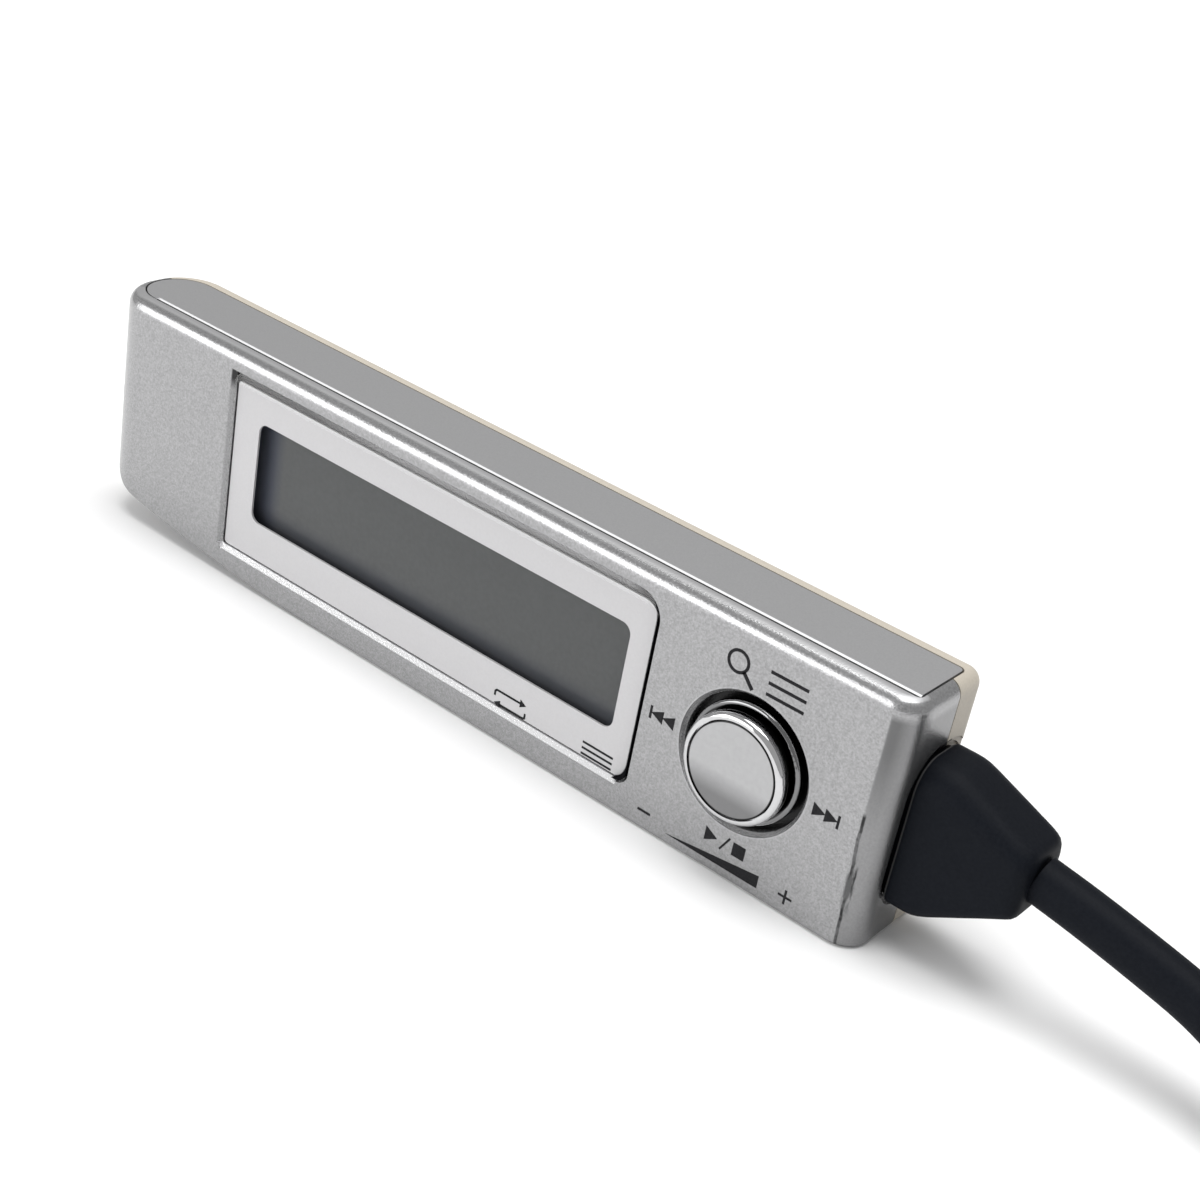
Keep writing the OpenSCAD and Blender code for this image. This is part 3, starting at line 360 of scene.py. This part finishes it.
def worn_and_shaded_silver():
    """Metallic paint, with a plain strip beside the trim plate, painted shade on the walls round
    the window, in the dish and in the boot seat, painted highlights on the cut below the window
    and on the dish's bevel, a painted darker corner at the cord end, and a worn line down the
    front upright edge there."""
    mat = grained("silver_paint", grey(0.28), grey(0.40), SILVER_ROUGH, 0.85, 6800.0, 0.33)
    strip = all_of(mat, band(mat, "Y", -5.55, -4.0, 0.1), band(mat, "Z", 20.5, 21))
    paint(mat, grey(0.40), strip)
    rough = ramp(mat, strip, 0.0, 1.0, SILVER_ROUGH, STRIP_ROUGH)
    link(mat, rough, shader_of(mat).inputs["Roughness"])
    paint_pocket_shade(mat)
    paint_dish_highlight_and_shade(mat)
    # X less the lean of the painted edge, which stands further right lower down
    lean = fade(mat, "Z", 0.0, 12.0, 0.70 * MM, 0.26 * MM)
    upright_x = math_node(mat, "SUBTRACT", axis(mat, "X"), lean)
    paint_cord_end_shade(mat, upright_x)
    paint_worn_edge(mat, upright_x)
    return mat


def trim_plate():
    """Matt grey metal with a painted highlight on the cut along its front edge, above a painted
    shadow line where it sits in its seat.
    """
    mat = grained("trim_metal", grey(0.395), grey(0.435), 0.42, 0.8, 9000.0, 0.15)
    front_edge = band(mat, "Y", FACE_Y + 1.45, FACE_Y + 1.9)
    # Painted highlight on the front cut
    paint(mat, grey(0.95), front_edge, band(mat, "Z", 20.56, 20.68, 0.01))
    # Painted shadow line below the cut
    paint(mat, grey(0.02), front_edge, band(mat, "Z", 18.0, 20.56, 0.01))
    return mat


def knob_metal():
    """Chrome, with painted shade down in the groove behind the rim and a painted dark reflection
    on the flange below it.
    """
    mat = grained("knob_chrome", grey(0.56), grey(0.60), 0.07, 1.0, 2500.0, 0.0)
    groove = band(mat, "Y", FACE_Y - 0.8, FACE_Y + 2, 0.1)
    # Painted shade in the groove
    paint(mat, grey(0.04), groove)
    flange = between(mat, off_stick(mat), 4.45, 4.9)
    # Painted dark reflection on the flange
    paint(mat, grey(0.20), flange)
    return mat


def cap_metal():
    """Satin metal, with painted shade towards its lower side and painted shade in the rim where it
    sits in the knob.
    """
    mat = grained("cap_satin", grey(0.41), grey(0.435), 0.2, 1.0, 2500.0, 0.0)
    lower_side_shade = fade(mat, "Z", 9.3, 7.4, 0.0, 0.9)
    # Painted shade towards the lower side
    paint(mat, grey(0.17), lower_side_shade)
    rim = between(mat, off_stick(mat), 3.62, 4.0, 0.03)
    # Painted shade in the gap at the rim
    paint(mat, grey(0.02), rim)
    return mat


def shell_plastic():
    """Cream plastic, with painted shade inside the boot's seat."""
    dark, light = (0.46, 0.42, 0.355), (0.50, 0.455, 0.385)
    mat = grained("cream_plastic", dark, light, 0.5, 0.0, 5000.0, 0.1)
    # Painted shade in the boot's seat
    paint(mat, grey(0.01), boot_seat(mat))
    return mat


def mask_print():
    """White print, with a painted shadow at its right edge beside the window's seat."""
    dark, light = (0.475, 0.47, 0.478), (0.495, 0.49, 0.498)
    mat = grained("white_print", dark, light, 0.5, 0.0, 5000.0, 0.02)
    right_edge_shade = band(mat, "X", 19.9, 21)
    # Painted shadow along the right edge
    paint(mat, grey(0.01), right_edge_shade)
    return mat


def rubber_with_edge_highlight():
    """Dull rubber, with a painted highlight along the edge of the boot's base."""
    dark, light = (0.0045, 0.0056, 0.0085), (0.0065, 0.0078, 0.0110)
    mat = grained("cord_rubber", dark, light, 0.55, 0.0, 4000.0, 0.1, 0.07)
    base_edge_highlight = band(mat, "X", 41.40, 41.60)
    # Painted highlight along the boot's base edge
    paint(mat, grey(0.10), base_edge_highlight)
    return mat


def display_panel():
    """Grey display glass, with painted shade, darker and bluer, along its left and lower edges."""
    dark, light = (0.075, 0.077, 0.078), (0.081, 0.083, 0.084)
    mat = grained("display_glass", dark, light, 0.3, 0.0, 2500.0, 0.0, 0.2)
    left_edge_shade = fade(mat, "X", -20.0, -21.2, 0.0, 0.8)
    # Painted shade along the left edge
    paint(mat, (0.044, 0.048, 0.066), left_edge_shade)
    lower_edge_shade = fade(mat, "Z", 7.8, 6.6, 0.0, 0.6)
    # Painted shade along the lower edge
    paint(mat, (0.048, 0.052, 0.064), lower_edge_shade)
    return mat


def mix_shaders(mat, factor, under, over):
    """The socket of one shader laid over another by factor."""
    mix = mat.node_tree.nodes.new("ShaderNodeMixShader")
    link(mat, factor, mix.inputs["Fac"])
    link(mat, under, mix.inputs[1])
    link(mat, over, mix.inputs[2])
    return mix.outputs["Shader"]


def clear_window():
    """A clear plate: light passes, with a faint gloss on its upper bevel and painted shade along
    its right edge.
    """
    mat = bpy.data.materials.new("clear_window")
    mat.use_nodes = True
    tree = mat.node_tree
    tree.nodes.remove(shader_of(mat))
    clear = add_node(mat, "ShaderNodeBsdfTransparent").outputs["BSDF"]
    gloss = add_node(mat, "ShaderNodeBsdfGlossy", Roughness=0.04).outputs["BSDF"]
    # A dark sheet of painted shade for the plate's right edge
    shade_color = (0.006, 0.006, 0.007, 1.0)
    dark = add_node(mat, "ShaderNodeBsdfDiffuse", Color=shade_color).outputs["BSDF"]
    upper_bevel = fade(mat, "Z", 17.8, 18.2, 0.0, 0.03)
    glossed = mix_shaders(mat, upper_bevel, clear, gloss)
    half = (WINDOW_LENGTH / 2, 0.0, WINDOW_HEIGHT / 2)
    off_plate = off_box(mat, (1, 0, 1), (WINDOW_X, 0.0, WINDOW_Z), half, WINDOW_CORNER)
    right_end = fade(mat, "X", 16.5, 18.0)
    right_edge_shade = all_of(mat, right_end, beyond(mat, off_plate, 0.18))
    edged = mix_shaders(mat, right_edge_shade, glossed, dark)
    link(mat, edged, tree.nodes["Material Output"].inputs["Surface"])
    return mat


silver = worn_and_shaded_silver()
trim_metal = trim_plate()
cream = shell_plastic()
white_print = mask_print()
display = display_panel()
lens_clear = clear_window()
chrome = knob_metal()
satin = cap_metal()
rubber = rubber_with_edge_highlight()


# ---- Plain finishes, and what each piece gets ----

# name, dark, light, roughness, metallic, grain's cells per metre, its strength, specular
acrylic = grained(
    "clear_acrylic", (0.72, 0.76, 0.76), (0.78, 0.82, 0.82), 0.2, 0.0, 3000.0, 0.05
)
pink_rubber = grained(
    "pink_rubber", (0.55, 0.26, 0.24), (0.62, 0.31, 0.28), 0.7, 0.0, 3000.0, 0.1
)
board_green = grained(
    "board_green", (0.02, 0.12, 0.05), (0.04, 0.18, 0.08), 0.4, 0.0, 1500.0, 0.1
)
chip_black = grained("chip_black", grey(0.018), grey(0.03), 0.55, 0.0, 5000.0, 0.15)
switch_metal = grained("switch_metal", grey(0.62), grey(0.70), 0.3, 1.0, 4000.0, 0.05)
contact_gold = grained(
    "contact_gold", (0.75, 0.52, 0.20), (0.83, 0.60, 0.26), 0.25, 1.0, 4000.0, 0.03
)
dark_plastic = grained("dark_plastic", grey(0.016), grey(0.024), 0.5, 0.0, 4500.0, 0.12, 0.2)
pin_steel = grained("pin_steel", grey(0.55), grey(0.63), 0.28, 1.0, 4000.0, 0.03)
lead_red = grained("lead_red", (0.45, 0.07, 0.05), (0.55, 0.10, 0.07), 0.45, 0.0, 4000.0, 0.05)
print_ink = grained(
    "print_ink", (0.010, 0.010, 0.011), (0.018, 0.018, 0.020), 0.6, 0.0, 9000.0, 0.0, 0.1
)

FINISHES = {
    silver: "front_shell",
    cream: "rear_shell hold_slider clip_lever repeat_key menu_key volume_rocker",
    trim_metal: "top_trim",
    lens_clear: "window_lens",
    white_print: "window_mask",
    display: "lcd_panel",
    acrylic: "light_guide",
    pink_rubber: "lcd_connector",
    board_green: "circuit_board",
    chip_black: "control_chips",
    switch_metal: "key_switches stick_contact clip_spring",
    dark_plastic: (
        "stick_base stick_gimbal repeat_plunger menu_plunger volume_plungers jack_housing"
        " hold_switch"
    ),
    pin_steel: "stick_stem volume_pin jack_bush case_screws clip_pin",
    contact_gold: "jack_contacts plug_pin",
    chrome: "stick_knob",
    satin: "stick_cap",
    rubber: "cord_boot cord cord_coil coil_tie plug_lead plug_body plug_rings",
    lead_red: "cord_leads",
}
for finish, names in FINISHES.items():
    for name in names.split():
        mesh = nodes[name].data
        mesh.materials.clear()
        mesh.materials.append(finish)


# ---- Boot: the soft block the cord comes out of ----

# x, middle z, width along Y, height, corner radius
BOOT_RINGS = [
    (41.02, 9.30, 5.80, 11.40, 2.40),
    (41.40, 9.30, 5.80, 11.40, 2.40),
    (41.44, 9.30, 6.30, 11.90, 2.62),
    (41.56, 9.30, 6.46, 12.06, 2.68),
    (41.80, 9.30, 6.50, 12.10, 2.70),
    (43.00, 9.30, 6.50, 12.10, 2.70),
    (43.60, 9.31, 6.49, 12.00, 2.68),
    (44.10, 9.34, 6.47, 11.72, 2.65),
    (44.80, 9.39, 6.41, 11.10, 2.55),
    (46.00, 9.49, 6.32, 9.85, 2.38),
    (47.20, 9.59, 6.23, 8.60, 2.20),
    (48.40, 9.69, 6.13, 7.35, 2.03),
    (49.30, 9.76, 6.06, 6.42, 1.90),
    (49.80, 9.79, 5.98, 5.92, 1.82),
    (50.15, 9.80, 5.80, 5.60, 1.74),
    (50.45, 9.80, 5.50, 5.30, 1.66),
    (50.65, 9.80, 5.10, 4.90, 1.56),
    (50.78, 9.80, 4.60, 4.40, 1.45),
    (50.80, 9.80, 3.70, 3.70, 1.40),
]
CORNER_STEPS = 10
UPPER_CORNERS, LOWER_CORNERS = 0.85, 0.55  # shares of a ring's corner radius


def rounded_section(x, y, z, width, height, radius):
    """Points round a rectangle that stands across X, its round corners tighter below."""
    points = []
    for k, (sy, sz) in enumerate(((1, 1), (-1, 1), (-1, -1), (1, -1))):
        r = radius * (UPPER_CORNERS if sz > 0 else LOWER_CORNERS)
        for i in range(CORNER_STEPS + 1):
            a = math.radians(90 * (k + i / CORNER_STEPS))
            points.append(Vector((
                x,
                y + sy * (width / 2 - r) + r * math.cos(a),
                z + sz * (height / 2 - r) + r * math.sin(a),
            )) * MM)
    return points


def loft(name, sections, material):
    """A closed skin through the sections, with flat ends."""
    bm = bmesh.new()
    rows = [[bm.verts.new(p) for p in section] for section in sections]
    count = len(rows[0])
    for a, b in zip(rows, rows[1:]):
        for i in range(count):
            j = (i + 1) % count
            bm.faces.new((a[i], a[j], b[j], b[i]))
    bm.faces.new(rows[0][::-1])
    bm.faces.new(rows[-1])
    bmesh.ops.recalc_face_normals(bm, faces=bm.faces)
    for face in bm.faces:
        face.smooth = len(face.verts) == 4
    mesh = bpy.data.meshes.new(name)
    bm.to_mesh(mesh)
    bm.free()
    mesh.materials.append(material)
    obj = bpy.data.objects.new(name, mesh)
    scene.collection.objects.link(obj)
    return obj


boot = loft(
    "boot_skin",
    [rounded_section(x, BOOT_Y, z, w, h, r) for x, z, w, h, r in BOOT_RINGS],
    rubber,
)
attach(boot, "case")
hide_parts("cord_boot")


# ---- Cap: the hollow disc that the thumb rests on ----

CAP_STEPS, CAP_EDGE_STEPS, CAP_HOLLOW_STEPS = 96, 5, 24
CAP_BACK, CAP_PROUD = 1.18, 1.47  # heights over the face
CAP_R, CAP_EDGE, CAP_HOLLOW = 3.77, 0.14, 0.06


def cap_rings():
    """Radius and height over the face, from the cap's back to the middle of its hollow."""
    rings = [(CAP_R, CAP_BACK), (CAP_R, CAP_PROUD - CAP_EDGE)]
    for i in range(1, CAP_EDGE_STEPS + 1):
        a = math.radians(90 * i / CAP_EDGE_STEPS)
        rings.append((
            CAP_R - CAP_EDGE * (1 - math.cos(a)),
            CAP_PROUD - CAP_EDGE * (1 - math.sin(a)),
        ))
    inner = CAP_R - CAP_EDGE
    for i in range(1, CAP_HOLLOW_STEPS):
        share = 1 - i / CAP_HOLLOW_STEPS
        rings.append((inner * share, CAP_PROUD - CAP_HOLLOW * (1 - share * share)))
    return rings


def turned(radius, proud):
    """Points of a circle round the stick's middle line, that high over the face."""
    return [
        Vector((
            STICK_X + radius * math.cos(2 * math.pi * i / CAP_STEPS),
            FACE_Y - proud,
            STICK_Z + radius * math.sin(2 * math.pi * i / CAP_STEPS),
        )) * MM
        for i in range(CAP_STEPS)
    ]


cap = loft("cap_skin", [turned(r, h) for r, h in cap_rings()], satin)
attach(cap, "stick")
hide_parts("stick_cap")


# ---- Clip spring: a copy of its wire, fixed in place, stands in for the spring ----

spring = bpy.data.objects.new("clip_spring_wire", nodes["clip_spring"].data.copy())
spring.matrix_world = nodes["clip_spring"].matrix_world
scene.collection.objects.link(spring)
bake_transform(spring)
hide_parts("clip_spring")


# ---- Cord: out of the boot, down to the floor, through the tied hank and on to the plug ----

CORD_D = 3.6
BOOT_END = (50.8, -0.4, 9.8)
HANK_X0, HANK_X1, HANK_Y = 87.0, 153.0, 5.0  # where the hank's folds start, and its middle
HANK_PITCH = CORD_D + 0.5  # from one strand or layer to the next
HANK_R = 7.4  # half the spread of the inner strands
HANK_OUTER = HANK_R + HANK_PITCH
LOW = 2.4  # the cord's middle in the lower layer
HIGH = LOW + HANK_PITCH
TOP = HIGH + HANK_PITCH
STAGGER = 4.0  # how far the fold that climbs a layer lies inside the others
CLIMB_FROM, CLIMB_TO = 0.12, 0.88  # the share of that fold in which it climbs
RISE = 24.0  # the length of the last climb, along X
PLUG_AT = (105.0, HANK_Y - (HANK_OUTER + HANK_R) / 2, 12.35)
FOLD_STEPS, RISE_STEPS, LEAD_STEPS = 24, 12, 16
BEVEL_STEPS = 6


def ease(u):
    """From 0 to 1, slow at both ends."""
    u = max(0.0, min(1.0, u))
    return u * u * (3 - 2 * u)


def smooth_run(points, steps=4):
    """A curve through the points, with steps pieces between each two."""
    pts = [Vector(p) for p in points]
    pts = [2 * pts[0] - pts[1]] + pts + [2 * pts[-1] - pts[-2]]
    out = []
    for a, b, c, d in zip(pts, pts[1:], pts[2:], pts[3:]):
        for i in range(steps):
            t = i / steps
            out.append(0.5 * (
                2 * b + (c - a) * t + (2 * a - 5 * b + 4 * c - d) * t**2
                + (3 * b - a - 3 * c + d) * t**3
            ))
    return out + [pts[-2]]


def fold(x, side, y0, y1, z0, z1, rise_from=0.0, rise_to=1.0):
    """Half a turn of the hank, on its right (1) or its left (-1)."""
    points = []
    for i in range(FOLD_STEPS + 1):
        share = i / FOLD_STEPS
        a = math.pi * share
        points.append(Vector((
            x + side * abs(y1 - y0) / 2 * math.sin(a),
            HANK_Y + (y0 + y1) / 2 + (y0 - y1) / 2 * math.cos(a),
            z0 + (z1 - z0) * ease((share - rise_from) / (rise_to - rise_from)),
        )))
    return points


to_floor = smooth_run([
    BOOT_END, (54.5, -0.4, 9.2), (59, -0.4, 8.3), (63.5, -0.5, 7.3), (67, -1.1, 6.3),
    (71, -2.3, 4.9), (75, -3.9, 3.5), (79, -5.4, 2.6),
    (HANK_X0 - CORD_D, HANK_Y - HANK_OUTER, LOW),
])
last_climb = [
    Vector((
        HANK_X0 + RISE * (1 - i / RISE_STEPS),
        HANK_Y + HANK_OUTER,
        HIGH + HANK_PITCH * ease(i / RISE_STEPS),
    ))
    for i in range(RISE_STEPS)
]
hank = (
    fold(HANK_X1, 1, -HANK_OUTER, HANK_OUTER, LOW, LOW)
    + fold(HANK_X0, -1, HANK_OUTER, -HANK_R, LOW, LOW)
    + fold(HANK_X1, 1, -HANK_R, HANK_R, LOW, LOW)
    + fold(HANK_X0 + STAGGER, -1, HANK_R, -HANK_R, LOW, HIGH, CLIMB_FROM, CLIMB_TO)
    + fold(HANK_X1, 1, -HANK_R, HANK_R, HIGH, HIGH)
    + fold(HANK_X0, -1, HANK_R, -HANK_OUTER, HIGH, HIGH)
    + fold(HANK_X1, 1, -HANK_OUTER, HANK_OUTER, HIGH, HIGH)
    + last_climb
    + fold(HANK_X0, -1, HANK_OUTER, PLUG_AT[1] - HANK_Y, TOP, TOP)
)
lead_x = HANK_X0 + CORD_D
to_plug = [
    Vector((
        lead_x + (PLUG_AT[0] - lead_x) * i / LEAD_STEPS,
        PLUG_AT[1],
        TOP + (PLUG_AT[2] - TOP) * ease(i / LEAD_STEPS),
    ))
    for i in range(LEAD_STEPS + 1)
]
route = [p * MM for p in to_floor + hank + to_plug]

curve = bpy.data.curves.new("cord_run", "CURVE")
curve.dimensions = "3D"
curve.bevel_depth = CORD_D / 2 * MM
curve.bevel_resolution = BEVEL_STEPS
curve.use_fill_caps = True
spline = curve.splines.new("POLY")
spline.points.add(len(route) - 1)
for point, place in zip(spline.points, route):
    point.co = (*place, 1.0)
spline.use_smooth = True
cord = bpy.data.objects.new("cord_run", curve)
scene.collection.objects.link(cord)
curve.materials.append(rubber)
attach(cord, "case")
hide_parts("cord", "cord_coil", "plug_lead")


# ---- Printed marks: plain transport symbols and pictograms, as thin ink on the surface ----

FACE_D, FACE_INK = 0.0, 0.02  # the depth of the surface and how far the ink stands out of it
MASK_D, MASK_INK = 0.51, 0.006
MITRE_LIMIT = 0.35  # keeps the point of a sharp bend short
SKIP_SIZE, SKIP_BAR = 1.08, 0.2  # a triangle's size, the bar's width
SKIP_STEP = 0.95  # from one triangle to the next, as a share of its size


def ribbon(points, width, closed=False):
    """Left and right edge points of a line of that width."""
    pts = [Vector(p) for p in points]
    pairs = []
    for i, p in enumerate(pts):
        before = pts[i - 1] if i or closed else p
        after = pts[(i + 1) % len(pts)] if i + 1 < len(pts) or closed else p
        d1 = (p - before).normalized() if p != before else (after - p).normalized()
        d2 = (after - p).normalized() if after != p else d1
        along = (d1 + d2).normalized()
        side = Vector((-along.y, along.x))
        reach = width / 2 / max(MITRE_LIMIT, along.dot(d2))
        pairs.append((p + side * reach, p - side * reach))
    return pairs


def outline(loop):
    """A filled shape."""
    return ("loop", [Vector(p) for p in loop])


def line(points, width):
    """An open line."""
    pairs = ribbon(points, width)
    return ("loop", [a for a, b in pairs] + [b for a, b in reversed(pairs)])


def ring(points, width):
    """A closed line."""
    return ("ring", ribbon(points, width, closed=True))


def rect(x0, z0, x1, z1):
    """A filled rectangle."""
    return outline([(x0, z0), (x1, z0), (x1, z1), (x0, z1)])


def arc(x, z, radius, start, end, steps):
    """Points along an arc, from one angle to another in degrees."""
    angles = [math.radians(start + (end - start) * i / steps) for i in range(steps + 1)]
    return [(x + radius * math.cos(a), z + radius * math.sin(a)) for a in angles]


def ink(name, shapes, depth=FACE_D, thick=FACE_INK):
    """A mark in (x, z) on the plane at that depth, standing a hair proud of it."""
    bm = bmesh.new()
    front_d, back_d = depth - thick, depth + thick / 2

    def vertex(p, d):
        return bm.verts.new(Vector((p.x, FACE_Y + d, p.y)) * MM)

    for kind, data in shapes:
        if kind == "loop":
            front = [vertex(p, front_d) for p in data]
            back = [vertex(p, back_d) for p in data]
            bm.faces.new(front)
            bm.faces.new(back[::-1])
            for i in range(len(front)):
                j = (i + 1) % len(front)
                bm.faces.new((front[i], back[i], back[j], front[j]))
        else:
            rows = [[vertex(p, d) for p in pair for d in (front_d, back_d)] for pair in data]
            for i, (la, lb, ra, rb) in enumerate(rows):
                la2, lb2, ra2, rb2 = rows[(i + 1) % len(rows)]
                bm.faces.new((la, la2, ra2, ra))
                bm.faces.new((lb, rb, rb2, lb2))
                bm.faces.new((la, lb, lb2, la2))
                bm.faces.new((ra, ra2, rb2, rb))
    bmesh.ops.recalc_face_normals(bm, faces=bm.faces)
    mesh = bpy.data.meshes.new(name)
    bm.to_mesh(mesh)
    bm.free()
    mesh.materials.append(print_ink)
    obj = bpy.data.objects.new(name, mesh)
    scene.collection.objects.link(obj)
    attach(obj, "case")


def skip(x, z, way):
    """Two triangles and a bar, pointing along way."""
    half = SKIP_SIZE / 2
    shapes = []
    for i in (0, 1):
        tip = x + way * i * SKIP_SIZE * SKIP_STEP
        foot = tip - way * SKIP_SIZE
        shapes.append(outline([(foot, z - half), (tip, z), (foot, z + half)]))
    bar = x + way * SKIP_SIZE
    shapes.append(rect(bar - SKIP_BAR / 2, z - half, bar + SKIP_BAR / 2, z + half))
    return shapes


ink("mark_skip_back", skip(22.2, 9.9, -1))
ink("mark_skip_forward", skip(36.8, 9.6, 1))
ink("mark_play_stop", [
    outline([(27.85, 2.35), (28.95, 2.95), (27.85, 3.55)]),
    line([(29.3, 2.3), (30.0, 3.6)], 0.16),
    rect(30.35, 2.4, 31.45, 3.5),
])
ink("mark_minus", [rect(21.75, 1.55, 22.95, 1.75)])
ink("mark_plus", [outline([
    (34.8, 1.51), (35.31, 1.51), (35.31, 1.0), (35.49, 1.0), (35.49, 1.51), (36.0, 1.51),
    (36.0, 1.69), (35.49, 1.69), (35.49, 2.2), (35.31, 2.2), (35.31, 1.69), (34.8, 1.69),
])])
ink("mark_volume_wedge", [outline([(24.6, 0.95), (33.0, 0.95), (33.0, 2.0)])])
ink("mark_search", [
    ring(arc(27.3, 17.35, 0.85, 0, 345, 24), 0.24),
    line([(27.9, 16.75), (28.85, 15.75)], 0.3),
    *[rect(30.0, z, 33.2, z + 0.25) for z in (17.75, 16.85, 15.95)],
])
ink("mark_repeat", [
    line([(6.4, 3.5), (6.4, 3.9), (6.55, 4.05), (9.0, 4.05)], 0.2),
    outline([(8.95, 3.68), (9.6, 4.05), (8.95, 4.42)]),
    line([(9.6, 3.4), (9.6, 3.0), (9.45, 2.9), (7.0, 2.9)], 0.2),
    outline([(7.05, 3.27), (6.4, 2.9), (7.05, 2.53)]),
], MASK_D, MASK_INK)
ink("mark_menu", [rect(15.4, z, 18.4, z + 0.2) for z in (2.9, 3.4, 3.9)], MASK_D, MASK_INK)


# ---- Floor and light, in metres and watts ----

FLOOR_HALF = 3.0
FLOOR_DROP = 0.00001  # keeps the floor clear of the part's underside
WORLD_STRENGTH = 0.5

floor_mesh = bpy.data.meshes.new("floor")
floor_mesh.from_pydata(
    [(x * FLOOR_HALF, y * FLOOR_HALF, 0) for x, y in ((-1, -1), (1, -1), (1, 1), (-1, 1))],
    [],
    [(0, 1, 2, 3)],
)
floor = bpy.data.objects.new("floor", floor_mesh)
floor.location.z = -FLOOR_DROP
scene.collection.objects.link(floor)
floor_mesh.materials.append(new_material("floor_white", (0.9, 0.9, 0.9), 0.8, specular=0.1))

world = bpy.data.worlds.new("studio")
world.use_nodes = True
scene.world = world
background = world.node_tree.nodes["Background"]
background.inputs["Color"].default_value = (1.0, 1.0, 1.0, 1.0)
background.inputs["Strength"].default_value = WORLD_STRENGTH


def area_light(name, place, aim, size, power):
    """A rectangular panel of light at a place, facing its aim."""
    data = bpy.data.lights.new(name, "AREA")
    data.shape = "RECTANGLE"
    data.size, data.size_y = size
    data.energy = power
    obj = bpy.data.objects.new(name, data)
    obj.location = place
    obj.rotation_euler = (Vector(aim) - Vector(place)).to_track_quat("-Z", "Y").to_euler()
    scene.collection.objects.link(obj)


# A soft panel overhead, and a broad one in front on the left, which draws
# the bright line along the upper edge
area_light("overhead", place=(0.05, 0.06, 1.0), aim=(0, 0, 0), size=(0.6, 0.8), power=9.2)
area_light(
    "front_panel", place=(-0.52, -0.72, 0.26), aim=(0, 0, 0.012), size=(0.8, 0.5), power=5.2
)
